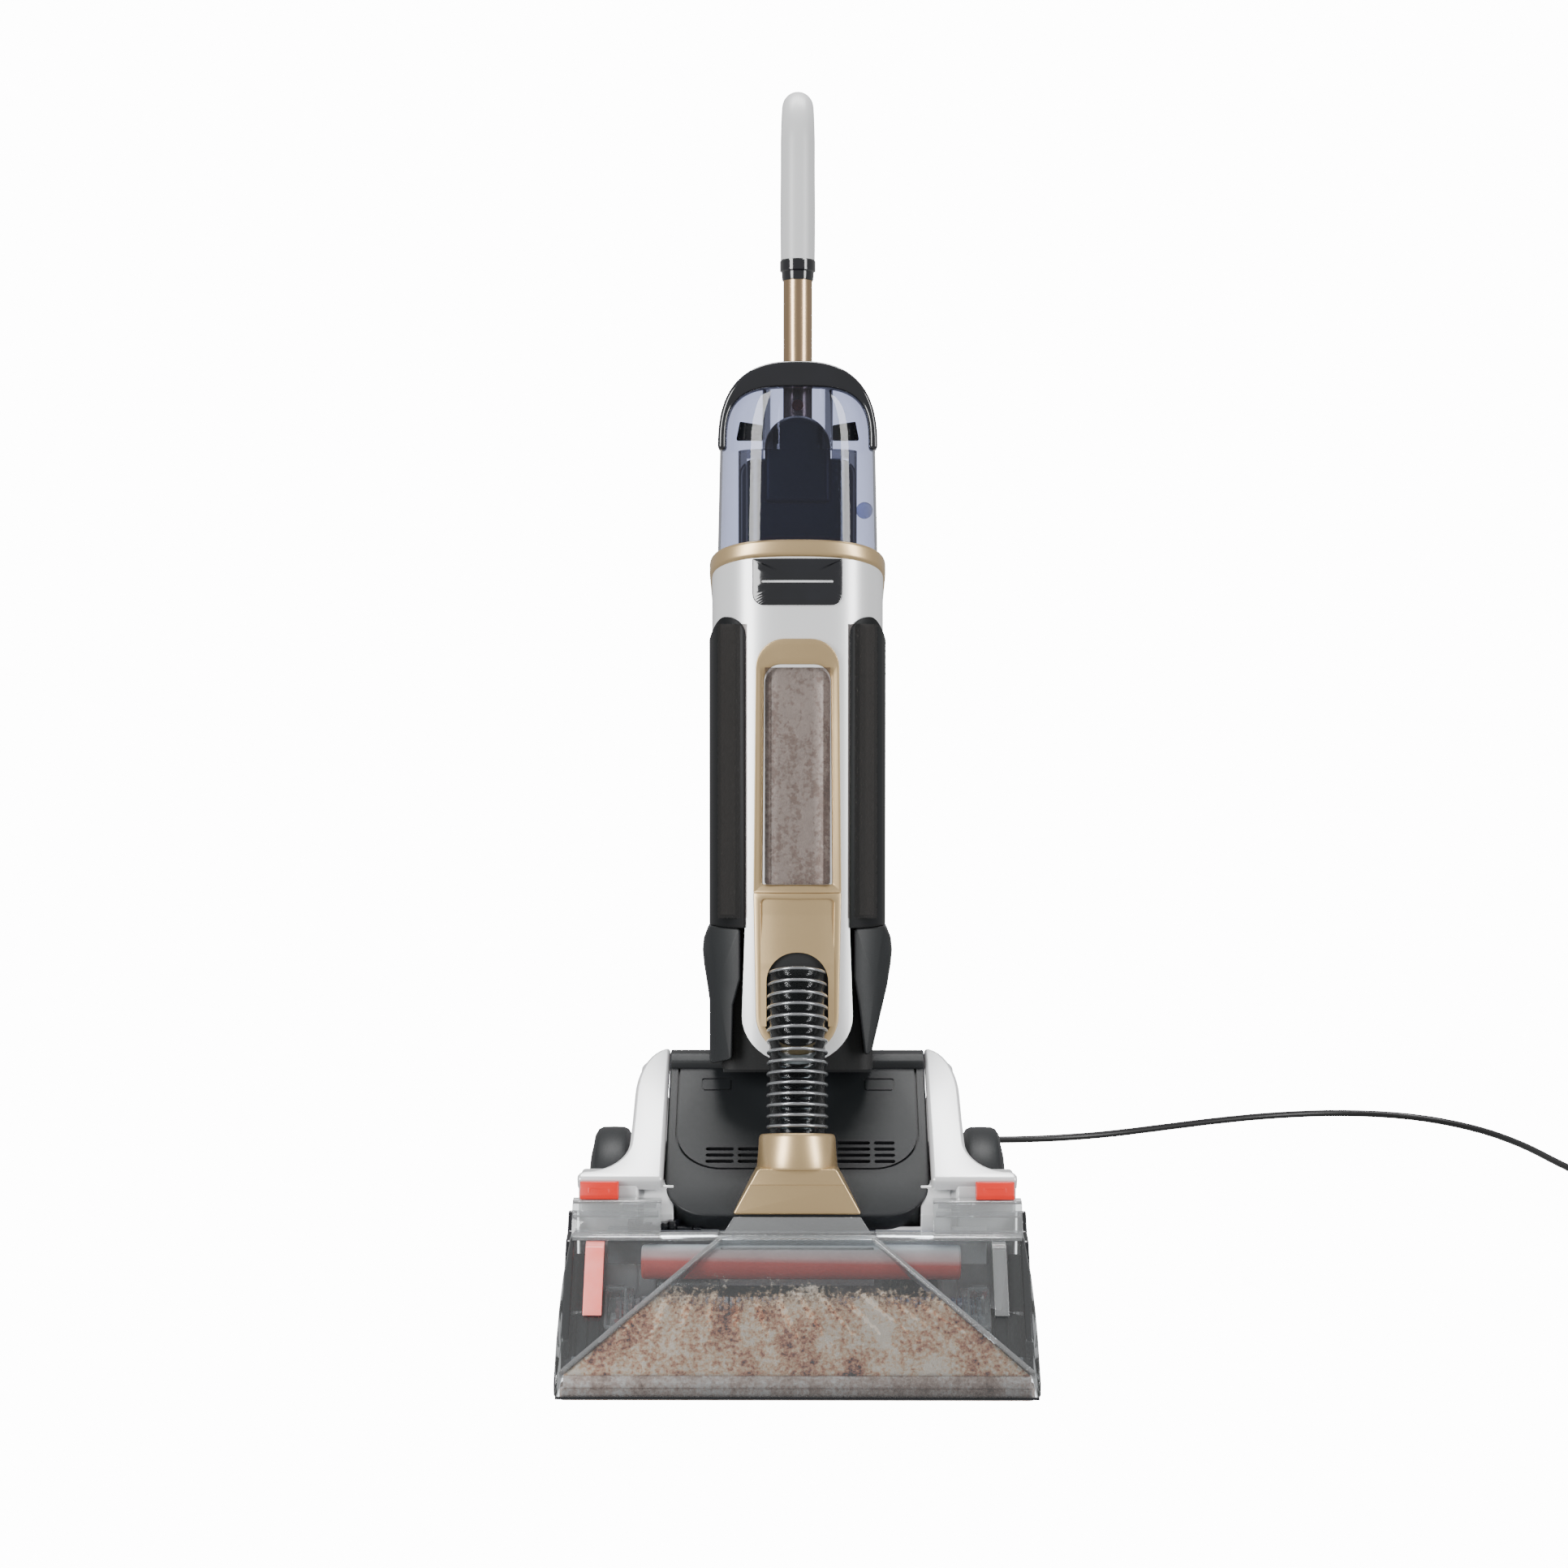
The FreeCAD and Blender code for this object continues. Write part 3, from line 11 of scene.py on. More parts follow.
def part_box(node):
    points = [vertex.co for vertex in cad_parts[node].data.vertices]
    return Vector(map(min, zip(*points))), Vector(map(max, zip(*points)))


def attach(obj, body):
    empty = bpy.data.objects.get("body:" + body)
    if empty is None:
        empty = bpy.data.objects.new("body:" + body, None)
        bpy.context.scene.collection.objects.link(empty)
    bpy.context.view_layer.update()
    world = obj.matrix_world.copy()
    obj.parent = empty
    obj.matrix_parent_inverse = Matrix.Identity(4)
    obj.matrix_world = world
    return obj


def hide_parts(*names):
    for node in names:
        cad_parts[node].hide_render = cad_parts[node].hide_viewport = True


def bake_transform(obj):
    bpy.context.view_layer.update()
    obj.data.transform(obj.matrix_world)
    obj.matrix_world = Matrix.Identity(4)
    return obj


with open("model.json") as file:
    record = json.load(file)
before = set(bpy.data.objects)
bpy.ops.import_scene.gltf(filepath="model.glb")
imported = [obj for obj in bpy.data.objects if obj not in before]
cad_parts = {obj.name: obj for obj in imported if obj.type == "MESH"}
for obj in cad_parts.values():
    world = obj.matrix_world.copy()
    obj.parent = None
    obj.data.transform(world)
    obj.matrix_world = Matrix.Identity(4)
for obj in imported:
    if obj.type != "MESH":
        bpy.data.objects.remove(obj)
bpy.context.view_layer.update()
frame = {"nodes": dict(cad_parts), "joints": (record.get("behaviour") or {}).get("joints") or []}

bl_info = {
    "name": "Carpet cleaner",
    "version": (1, 0, 0),
    "blender": (4, 5, 0),
    "location": "View3D > Sidebar > Carpet cleaner",
    "description": "Covers, tanks, hose, brush and cord of an upright carpet cleaner, round its packed frame",
    "category": "Add Mesh",
}

JOINTS = {joint["name"]: joint for joint in frame["joints"]}
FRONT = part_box("nozzle_cover")[0].y
RECLINE = Vector(JOINTS["body_recline"]["pos_m"])
UPWARD = Vector(JOINTS["tank_lift"]["axis"]).normalized()
ACROSS = Vector((1, 0, 0))
BACKWARD = UPWARD.cross(ACROSS)

# Millimetres that several pieces share.
BODY_HALF = 70.5
BODY_FRONT = -118.0
BODY_SIDE = -58.0
SIDES_BACK = -40.0
FRONT_POWER = 2.6
COLLAR_SPOT = (0, 123, 142)
BRUSH_CENTRE = (76, 30)
SPRAY_CENTRE = (85, 84)
WHEEL_CENTRE = (288, 70)
COLLAR_LEAN = math.radians(16)
COLLAR_AXIS = Vector((0, math.sin(COLLAR_LEAN), math.cos(COLLAR_LEAN)))

# Degrees up to which neighbouring faces shade as one, and the turn past which an edge is rounded off.
SMOOTH = 38
EDGE_ANGLE = math.radians(30)


# ---------------------------------------------------------------- places

def foot(x, deep, up):
    """A spot on the foot: across, back from the nozzle's front edge, and up from the floor."""
    return Vector((x / 1000, FRONT + deep / 1000, up / 1000))


def upright(x, back, up):
    """A spot on the leaning body, from the recline axis."""
    return RECLINE + Vector((x / 1000, 0, 0)) + BACKWARD * (back / 1000) + UPWARD * (up / 1000)


def on_slope(start, end):
    """A place on a sloping panel of the foot: across, up the slope, and out of it."""
    along = (Vector((0, *end)) - Vector((0, *start))).normalized()
    out = ACROSS.cross(along)

    def place(x, up, proud):
        spot = Vector((x, *start)) + along * up + out * proud
        return foot(*spot)
    return place


def casing_front(x):
    """How far back the casing's rounded front is at a distance from its middle."""
    share = min(abs(x) / BODY_HALF, 1)
    return BODY_SIDE - (BODY_SIDE - BODY_FRONT) * (1 - share ** FRONT_POWER) ** (1 / FRONT_POWER)


def on_casing(x, proud, up):
    """A spot on the casing's rounded front, so far out of it."""
    return upright(x, casing_front(x) - proud, up)


def seam(back):
    """Height of the sloping seam under the clean tank."""
    return 514 - 40 * (back + 118) / 138


def swing(radius, centre, angle):
    """A spot on a circle, in the plane."""
    return (centre[0] + radius * math.cos(angle), centre[1] + radius * math.sin(angle))


# ---------------------------------------------------------------- mesh work

def rounded(corners, steps=7):
    """An outline from corners (across, up, radius), each corner replaced by an arc."""
    points = []
    for number, (a, b, radius) in enumerate(corners):
        here = Vector((a, b))
        if radius <= 0:
            points.append((a, b))
            continue
        before = (Vector(corners[number - 1][:2]) - here)
        after = (Vector(corners[(number + 1) % len(corners)][:2]) - here)
        opening = before.angle(after)
        back = min(radius / math.tan(opening / 2), 0.499 * before.length, 0.499 * after.length)
        first, last = here + before.normalized() * back, here + after.normalized() * back
        reach = back * math.tan(opening / 2)
        middle = here + (before.normalized() + after.normalized()).normalized() * math.hypot(back, reach)
        start = math.atan2(*(first - middle).yx)
        turn = math.atan2(*(last - middle).yx) - start
        turn = (turn + math.pi) % (2 * math.pi) - math.pi
        points += [swing(reach, middle, start + turn * i / steps) for i in range(steps + 1)]
    return points


def slab_corners(left, right, low, high, radius):
    """The four corners of an upright rectangle, all with one radius, as rounded() takes them."""
    return [(left, low, radius), (right, low, radius), (right, high, radius), (left, high, radius)]


def skin(loops, closed=True, wrap=False, caps=True):
    """Points and faces of a skin over loops that have the same number of points."""
    count = len(loops[0])
    points = [tuple(point) for loop in loops for point in loop]
    faces = []
    for row in range(len(loops) if wrap else len(loops) - 1):
        low, high = row * count, (row + 1) % len(loops) * count
        for step in range(count if closed else count - 1):
            following = (step + 1) % count
            faces.append((low + step, low + following, high + following, high + step))
    if caps and not wrap:
        faces.append(tuple(reversed(range(count))))
        faces.append(tuple(range(len(points) - count, len(points))))
    return points, faces


ORDER = {"x": lambda a, b, c: (c, a, b), "y": lambda a, b, c: (a, c, b), "z": lambda a, b, c: (a, b, c)}


def extrude(outline, low, high, axis="z"):
    """A closed outline drawn out along an axis; either end may be a function of the outline's point."""
    def level(end, point):
        return end(*point) if callable(end) else end
    put = ORDER[axis]
    return skin([[put(*point, level(end, point)) for point in outline] for end in (low, high)])


def frame_ring(outer, inner, low, high, axis="z"):
    """A closed frame between two outlines of the same count, such as a bezel; levels are (outer, inner)
    pairs."""
    put = ORDER[axis]
    loops = [[put(*p, low[0]) for p in outer], [put(*p, high[0]) for p in outer],
             [put(*p, high[1]) for p in inner], [put(*p, low[1]) for p in inner]]
    return skin(loops, wrap=True)


def turned(profile, start, axis, steps=48, caps=True):
    """A turned form from (along, radius) pairs about an axis; radius 0 at an end closes it, and without
    caps it stays a pipe."""
    axis = Vector(axis).normalized()
    side = axis.orthogonal().normalized()
    other = axis.cross(side)
    loops = []
    for along, radius in profile:
        loops.append(round_loop(Vector(start) + axis * along, side, other, max(radius, 0.001), steps))
    return skin(loops, caps=caps)


def round_loop(middle, across, out, radius, steps):
    """A ring of points round a middle, in the plane of two directions square to each other."""
    turns = [2 * math.pi * i / steps for i in range(steps)]
    return [middle + across * radius * math.cos(turn) + out * radius * math.sin(turn) for turn in turns]


def tube(path, radii, steps=40):
    """A round bar with its own radius at each point of a path in the plane square to x."""
    loops = []
    for number, point in enumerate(path):
        before, after = Vector(path[max(number - 1, 0)]), Vector(path[min(number + 1, len(path) - 1)])
        out = ACROSS.cross((after - before).normalized())
        loops.append(round_loop(Vector(point), ACROSS, out, radii[number], steps))
    return skin(loops)


def merged(*solids):
    """Several skins in one."""
    points, faces = [], []
    for more, sides in solids:
        faces += [tuple(index + len(points) for index in face) for face in sides]
        points += more
    return points, faces


def mirrored(solid):
    """The same solid on the other side of the machine."""
    points, faces = solid
    return [(-x, y, z) for x, y, z in points], [tuple(reversed(face)) for face in faces]


def both_sides(solid):
    """A solid and its mirrored twin in one skin."""
    return merged(solid, mirrored(solid))


def sided(side, solid):
    """A solid drawn for the right, mirrored if its side is the left."""
    return mirrored(solid) if side == "left" else solid


def moved(solid, by):
    """The same solid somewhere else."""
    points, faces = solid
    return [(x + by[0], y + by[1], z + by[2]) for x, y, z in points], faces


def raw_object(name, solid):
    """A mesh object in millimetres with its doubles merged and its faces turned outwards."""
    mesh = bpy.data.meshes.new(name)
    mesh.from_pydata([tuple(point) for point in solid[0]], [], solid[1])
    work = bmesh.new()
    work.from_mesh(mesh)
    bmesh.ops.remove_doubles(work, verts=work.verts, dist=0.0005)
    bmesh.ops.recalc_face_normals(work, faces=work.faces)
    work.to_mesh(mesh)
    work.free()
    thing = bpy.data.objects.new(name, mesh)
    bpy.context.scene.collection.objects.link(thing)
    return thing


def settle(thing):
    """Turn the object's modifiers into plain mesh."""
    bpy.context.view_layer.update()
    graph = bpy.context.evaluated_depsgraph_get()
    mesh = bpy.data.meshes.new_from_object(thing.evaluated_get(graph))
    thing.modifiers.clear()
    old = thing.data
    thing.data = mesh
    if old.users == 0:
        bpy.data.meshes.remove(old)


def bevel(thing, width, segments):
    """Round off every edge that turns by more than EDGE_ANGLE."""
    edge = thing.modifiers.new("edge", "BEVEL")
    edge.width = width
    edge.segments = segments
    edge.limit_method = "ANGLE"
    edge.angle_limit = EDGE_ANGLE


def carve(thing, cutters):
    """Cut the object with solids given in the same millimetres."""
    tools = [raw_object(thing.name + "_cutter", solid) for solid in cutters]
    for tool in tools:
        change = thing.modifiers.new("carve", "BOOLEAN")
        change.operation = "DIFFERENCE"
        change.solver = "EXACT"
        change.object = tool
    settle(thing)
    for tool in tools:
        bpy.data.objects.remove(tool)


def piece(name, solid, place, finish, body, nodes=(), edge=0, segments=3, cuts=(), cuts_after=(),
          bend=0, smooth=SMOOTH):
    """Model a piece in flat millimetres, finish its edges, set it in place and give it to its body. Edges
    are rounded by `edge` between the first cuts and cuts_after, and `bend` splits the faces so that a
    curved place can bend them."""
    thing = raw_object(name, solid)
    if cuts:
        carve(thing, cuts)
    if edge:
        bevel(thing, edge, segments)
    if bend:
        denser = thing.modifiers.new("denser", "SUBSURF")
        denser.subdivision_type = "SIMPLE"
        denser.levels = denser.render_levels = bend
    if thing.modifiers:
        settle(thing)
    if cuts_after:
        carve(thing, cuts_after)
    for vertex in thing.data.vertices:
        vertex.co = place(*vertex.co)
    return finish_mesh(thing, finish, body, nodes, smooth)


def finish_mesh(thing, finish, body, nodes=(), smooth=SMOOTH):
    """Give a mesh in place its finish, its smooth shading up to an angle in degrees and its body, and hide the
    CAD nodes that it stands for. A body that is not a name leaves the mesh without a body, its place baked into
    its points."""
    mesh = thing.data
    work = bmesh.new()
    work.from_mesh(mesh)
    bmesh.ops.remove_doubles(work, verts=work.verts, dist=1e-7)
    bmesh.ops.recalc_face_normals(work, faces=work.faces)
    work.to_mesh(mesh)
    work.free()
    mesh.materials.clear()
    mesh.materials.append(finish)
    mesh.shade_smooth()
    mesh.set_sharp_from_angle(angle=math.radians(smooth))
    if isinstance(body, str):
        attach(thing, body)
    else:
        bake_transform(thing)
    if nodes:
        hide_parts(*nodes)
    return thing


# ---------------------------------------------------------------- node work

def add_node(tree, kind, settings=None, inputs=None):
    """Add one node; an input given as a socket is linked to it, any other value is set."""
    made = tree.nodes.new(kind)
    for key, value in (settings or {}).items():
        setattr(made, key, value)
    for key, value in (inputs or {}).items():
        socket = made.inputs[key]
        if isinstance(value, bpy.types.NodeSocket):
            tree.links.new(value, socket)
        else:
            socket.default_value = value
    return made


def repeat(name, spots, shape, measures, finish, seed=1, spread=0.0):
    """Copies of one small shape, each at a spot with its own turn, made by a node tree in metres.
    shape(tree, inputs) adds the shape's nodes; measures are the tree's named inputs, and spread is how
    far the copies may differ in size."""
    mesh = bpy.data.meshes.new(name)
    mesh.from_pydata([tuple(spot) for spot, _ in spots], [], [])
    turns = mesh.attributes.new("turn", "FLOAT_VECTOR", "POINT")
    turns.data.foreach_set("vector", [number for _, turn in spots for number in turn])
    thing = bpy.data.objects.new(name, mesh)
    bpy.context.scene.collection.objects.link(thing)
    tree = bpy.data.node_groups.new(name, "GeometryNodeTree")
    face = tree.interface
    face.new_socket("Geometry", in_out="INPUT", socket_type="NodeSocketGeometry")
    face.new_socket("Geometry", in_out="OUTPUT", socket_type="NodeSocketGeometry")
    made = {}
    for title in measures:
        made[title] = face.new_socket(title, in_out="INPUT", socket_type="NodeSocketFloat")
    made["Seed"] = face.new_socket("Seed", in_out="INPUT", socket_type="NodeSocketInt")
    made["Spread"] = face.new_socket("Spread", in_out="INPUT", socket_type="NodeSocketFloat")
    made["Finish"] = face.new_socket("Finish", in_out="INPUT", socket_type="NodeSocketMaterial")
    given = add_node(tree, "NodeGroupInput").outputs
    form = shape(tree, given)
    turn = add_node(tree, "GeometryNodeInputNamedAttribute", {"data_type": "FLOAT_VECTOR"}, {"Name": "turn"})
    rotation = add_node(tree, "FunctionNodeEulerToRotation", inputs={"Euler": turn.outputs["Attribute"]})
    most = add_node(tree, "ShaderNodeMath", {"operation": "ADD"}, {0: 1.0, 1: given["Spread"]})
    least = add_node(tree, "ShaderNodeMath", {"operation": "SUBTRACT"}, {0: 1.0, 1: given["Spread"]})
    scale = add_node(tree, "FunctionNodeRandomValue", {"data_type": "FLOAT"},
                     {"Min": least.outputs[0], "Max": most.outputs[0], "Seed": given["Seed"]})
    picked = next(socket for socket in scale.outputs if socket.enabled)
    copies = add_node(tree, "GeometryNodeInstanceOnPoints", inputs={
        "Points": given["Geometry"], "Instance": form, "Rotation": rotation.outputs[0], "Scale": picked})
    real = add_node(tree, "GeometryNodeRealizeInstances", inputs={"Geometry": copies.outputs["Instances"]})
    painted = add_node(tree, "GeometryNodeSetMaterial", inputs={
        "Geometry": real.outputs["Geometry"], "Material": given["Finish"]})
    add_node(tree, "NodeGroupOutput", inputs={"Geometry": painted.outputs["Geometry"]})
    change = thing.modifiers.new(name, "NODES")
    change.node_group = tree
    for title, number in measures.items():
        change[made[title].identifier] = number
    for title, value in (("Finish", finish), ("Seed", seed), ("Spread", spread)):
        change[made[title].identifier] = value
    settle(thing)
    return thing


def bar_shape(tree, given):
    """A small block."""
    size = add_node(tree, "ShaderNodeCombineXYZ", inputs={
        "X": given["Width"], "Y": given["Length"], "Z": given["Height"]})
    return add_node(tree, "GeometryNodeMeshCube", inputs={"Size": size.outputs[0]}).outputs["Mesh"]


def tuft_shape(tree, given):
    """A tuft of bristles, wider at its tip."""
    half = add_node(tree, "ShaderNodeMath", {"operation": "MULTIPLY"}, {0: given["Thickness"], 1: 0.55})
    tip = add_node(tree, "ShaderNodeMath", {"operation": "MULTIPLY"}, {0: given["Thickness"], 1: 0.95})
    return add_node(tree, "GeometryNodeMeshCone", inputs={
        "Vertices": 6, "Radius Top": tip.outputs[0], "Radius Bottom": half.outputs[0],
        "Depth": given["Length"]}).outputs["Mesh"]


def hoop_shape(tree, given):
    """A hoop of round wire."""
    line = add_node(tree, "GeometryNodeCurvePrimitiveCircle",
                    inputs={"Resolution": 40, "Radius": given["Radius"]})
    wire = add_node(tree, "GeometryNodeCurvePrimitiveCircle",
                    inputs={"Resolution": 10, "Radius": given["Wire"]})
    return add_node(tree, "GeometryNodeCurveToMesh", inputs={
        "Curve": line.outputs["Curve"], "Profile Curve": wire.outputs["Curve"]}).outputs["Mesh"]


def screw_shape(tree, given):
    """A round screw head."""
    return add_node(tree, "GeometryNodeMeshCylinder", inputs={
        "Vertices": 24, "Radius": given["Radius"], "Depth": given["Height"]}).outputs["Mesh"]


def spoke(angle):
    """The direction straight out of an axis that runs across, at an angle from straight back."""
    return Vector((0, math.cos(angle), math.sin(angle)))


def turn_to(direction, twist=(0, 0, 1)):
    """Euler angles that point z along a direction, with x as near as can be across the twist."""
    up = Vector(direction).normalized()
    across = Vector(twist).cross(up)
    if across.length < 1e-6:
        across = up.orthogonal()
    across.normalize()
    deep = up.cross(across)
    return tuple(Matrix((across, deep, up)).transposed().to_euler())


# ---------------------------------------------------------------- sizes and colours

def linear(code):
    """An sRGB hex colour as linear numbers, with an alpha of one."""
    parts = [int(code[i:i + 2], 16) / 255 for i in (1, 3, 5)]
    made = [part / 12.92 if part <= 0.04045 else ((part + 0.055) / 1.055) ** 2.4 for part in parts]
    return (*made, 1.0)


def colour(title, words, code):
    """A colour that the user may change, given as an sRGB hex value."""
    return FloatVectorProperty(name=title, description=words, default=linear(code)[:3], size=3,
                               subtype="COLOR", min=0, max=1)


class CleanerSizes(bpy.types.PropertyGroup):
    """Sizes of the details that the frame leaves open."""
    hose_pitch: FloatProperty(name="Hose pitch", description="From one turn of the hose's wire to the next",
                              default=0.0083, unit="LENGTH", min=0.004, max=0.02)
    hose_wire: FloatProperty(name="Hose wire", description="Thickness of the wire wound round the hose",
                             default=0.0026, unit="LENGTH", min=0.001, max=0.004)
    tuft_length: FloatProperty(name="Tuft length", description="Length of a brush tuft",
                               default=0.012, unit="LENGTH", min=0.004, max=0.013)
    tuft_thickness: FloatProperty(name="Tuft thickness", description="Half the thickness of a brush tuft",
                                  default=0.0021, unit="LENGTH", min=0.0005, max=0.004)
    tuft_rows: IntProperty(name="Tuft rows", description="Rows of tufts round the brush", default=18, min=4,
                           max=40)
    cord_length: FloatProperty(name="Cord length", description="Real length of the mains cord",
                               default=6.25, unit="LENGTH", min=3, max=10)
    cord_width: FloatProperty(name="Cord thickness", description="Diameter of the mains cord",
                              default=0.007, unit="LENGTH", min=0.004, max=0.01)


class CleanerColours(bpy.types.PropertyGroup):
    """Colours of the machine's main finishes."""
    pearl: colour("Pearl white", "Front casing and side covers", "#DFE0E1")
    champagne: colour("Champagne", "Bezel, band, plate and hose collar", "#C9AE82")
    black: colour("Black", "Hood, hips and wheels", "#1B1D1F")
    red: colour("Red", "Latches", "#CE2314")
    slate: colour("Slate", "Column behind the clean tank", "#20222C")
    smoke: colour("Smoked tank", "Clean tank", "#C3C7DA")
    grip: colour("Grip grey", "Handle grip", "#BFC0C1")


def sizes():
    """The sizes that the user may change."""
    return bpy.context.scene.cleaner_sizes


def shade(name):
    """The present value of a colour that the user may change."""
    return (*getattr(bpy.context.scene.cleaner_colours, name), 1.0)


def darker(rgb, factor):
    """A colour with its three channels scaled down."""
    return (*(channel * factor for channel in rgb[:3]), 1.0)


# ---------------------------------------------------------------- finishes

def new_material(name):
    """The empty node tree of a new material, and the piece's own coordinates in it."""
    made = bpy.data.materials.new(name)
    made.use_nodes = True
    made.node_tree.nodes.clear()
    return made.node_tree, add_node(made.node_tree, "ShaderNodeTexCoord").outputs["Object"]


def made_once(build):
    """Let a function build each material the first time its name is asked for, and hand it back after."""
    def material(name, *details, **inputs):
        if name not in bpy.data.materials:
            build(name, *details, **inputs)
        return bpy.data.materials[name]
    return material


@made_once
def surface(name, colour_a, colour_b, patch, rough, rough_spread, grain, height, stretch=(1, 1, 1), **inputs):
    """A solid finish: slow colour drift over `patch` metres, and a grain of `grain` metres that breaks up
    the gloss and stands `height` metres proud."""
    tree, spot = new_material(name)
    drawn = add_node(tree, "ShaderNodeMapping", inputs={"Vector": spot, "Scale": stretch}).outputs["Vector"]
    drift = add_node(tree, "ShaderNodeTexNoise", inputs={"Vector": drawn, "Scale": 1 / patch, "Detail": 3.0})
    tint = add_node(tree, "ShaderNodeMix", {"data_type": "RGBA"},
                    {"Factor": drift.outputs["Fac"], "A": colour_a, "B": colour_b})
    fine = add_node(tree, "ShaderNodeTexNoise", inputs={"Vector": drawn, "Scale": 1 / grain, "Detail": 2.0})
    gloss = add_node(tree, "ShaderNodeMapRange", inputs={
        "Value": fine.outputs["Fac"], "To Min": max(rough - rough_spread, 0), "To Max": rough + rough_spread})
    relief = add_node(tree, "ShaderNodeBump", inputs={
        "Height": fine.outputs["Fac"], "Strength": 0.5, "Distance": height})
    shader = add_node(tree, "ShaderNodeBsdfPrincipled", inputs={
        "Base Color": tint.outputs["Result"], "Roughness": gloss.outputs["Result"],
        "Normal": relief.outputs["Normal"], **inputs})
    add_node(tree, "ShaderNodeOutputMaterial", inputs={"Surface": shader.outputs["BSDF"]})


@made_once
def clear_moulding(name, tint, rough, scratch, haze, edge_haze, shine=1.0, body=0.8):
    """A clear thin moulding: tinted see-through face on, hazier and darker towards glancing angles, with a
    polished reflection and faint flow marks."""
    tree, spot = new_material(name)
    flow = add_node(tree, "ShaderNodeTexNoise", inputs={"Vector": spot, "Scale": 1 / scratch, "Detail": 2.0})
    gloss = add_node(tree, "ShaderNodeMapRange", inputs={
        "Value": flow.outputs["Fac"], "To Min": rough * 0.5, "To Max": rough * 1.5})
    edge = add_node(tree, "ShaderNodeLayerWeight", inputs={"Blend": 0.3})
    solid = add_node(tree, "ShaderNodeMapRange", inputs={
        "Value": edge.outputs["Facing"], "From Min": 0.15, "From Max": 1.0, "To Min": haze,
        "To Max": edge_haze})
    tinted = add_node(tree, "ShaderNodeMix", {"data_type": "RGBA"},
                      {"Factor": flow.outputs["Fac"], "A": tint, "B": darker(tint, 0.92)})
    through = add_node(tree, "ShaderNodeBsdfTransparent", inputs={"Color": tinted.outputs["Result"]})
    solid_part = add_node(tree, "ShaderNodeBsdfPrincipled", inputs={
        "Base Color": darker(tint, body), "Roughness": gloss.outputs["Result"], "Coat Weight": 1.0,
        "Coat Roughness": 0.02})
    mixed = add_node(tree, "ShaderNodeMixShader", inputs={
        0: solid.outputs["Result"], 1: through.outputs[0], 2: solid_part.outputs[0]})
    mirror = add_node(tree, "ShaderNodeBsdfGlossy", inputs={
        "Color": (shine, shine, shine, 1.0), "Roughness": gloss.outputs["Result"]})
    bounce = add_node(tree, "ShaderNodeFresnel", inputs={"IOR": 1.45})
    whole = add_node(tree, "ShaderNodeMixShader", inputs={
        0: bounce.outputs[0], 1: mixed.outputs[0], 2: mirror.outputs[0]})
    add_node(tree, "ShaderNodeOutputMaterial", inputs={"Surface": whole.outputs[0]})


def pearl_paint():
    # Pearl lacquer over moulded ABS: mica flakes give a soft satin sheen that greys as it turns away.
    return surface("pearl_lacquer_on_ABS", shade("pearl"), darker(shade("pearl"), 0.93), 0.09, 0.30, 0.05,
                   0.0009, 0.00002, Metallic=0.35, **{"Coat Weight": 0.35, "Coat Roughness": 0.12})


def champagne_paint():
    # Metallic lacquer over moulded ABS: fine flakes, warm highlights with soft edges.
    return surface("champagne_metallic_lacquer", shade("champagne"), darker(shade("champagne"), 0.9), 0.06,
                   0.34, 0.07, 0.0007, 0.00002, Metallic=0.8, **{"Coat Weight": 0.2, "Coat Roughness": 0.1})


def champagne_tube():
    # Anodised aluminium tube, drawn lengthways: long soft streaks along the tube.
    return surface("champagne_anodised_drawn_aluminium", linear("#BBA07E"), linear("#B2977A"), 0.02, 0.24,
                   0.02, 0.002, 0.000002, stretch=(1, 1, 0.04), Metallic=1.0)


def black_abs():
    # Moulded ABS with a fine spark-eroded texture: deep charcoal with a broad dull highlight.
    return surface("black_spark_textured_ABS", shade("black"), darker(shade("black"), 0.82), 0.12, 0.46, 0.09,
                   0.0007, 0.00004, **{"Specular IOR Level": 0.3})


def glossy_black():
    # Polished black ABS: sharp reflections in a very dark body.
    return surface("black_polished_ABS", linear("#0B0C0F"), linear("#15161B"), 0.03, 0.12, 0.04, 0.0015,
                   0.00001, **{"Coat Weight": 0.6, "Coat Roughness": 0.03})


def pad_rubber():
    # Soft-touch overmould: almost black, with a wide faint sheen.
    return surface("soft_touch_overmould", linear("#060709"), linear("#090B0E"), 0.08, 0.5, 0.06, 0.0009,
                   0.00003, **{"Specular IOR Level": 0.22})


def slate_abs():
    # Moulded ABS in dark blue slate, fine texture.
    return surface("slate_moulded_ABS", shade("slate"), darker(shade("slate"), 0.8), 0.05, 0.42, 0.08, 0.0008,
                   0.00003)


def grip_plastic():
    # Satin moulded grip: light grey with a dense fine texture that kills sharp reflections.
    return surface("satin_grey_grip_moulding", shade("grip"), darker(shade("grip"), 0.93), 0.07, 0.40, 0.06,
                   0.0006, 0.00003, **{"Coat Weight": 0.1, "Coat Roughness": 0.3})


def red_plastic():
    # Bright moulded ABS latch: saturated orange red with a satin gloss.
    return surface("red_moulded_ABS", shade("red"), darker(shade("red"), 0.82), 0.012, 0.34, 0.08, 0.0008,
                   0.00004)


def guard_plastic():
    # Translucent red guard: light passes into it and comes back pink.
    return surface("red_translucent_guard", linear("#EE6A60"), linear("#F59A92"), 0.02, 0.22, 0.05, 0.001,
                   0.00001, **{"Subsurface Weight": 0.3, "Subsurface Scale": 0.004, "Coat Weight": 0.5})


def grey_plastic():
    # Plain moulded inner part, mid grey.
    return surface("grey_moulded_polypropylene", linear("#74777B"), linear("#63666A"), 0.03, 0.5, 0.1, 0.001,
                   0.00004)


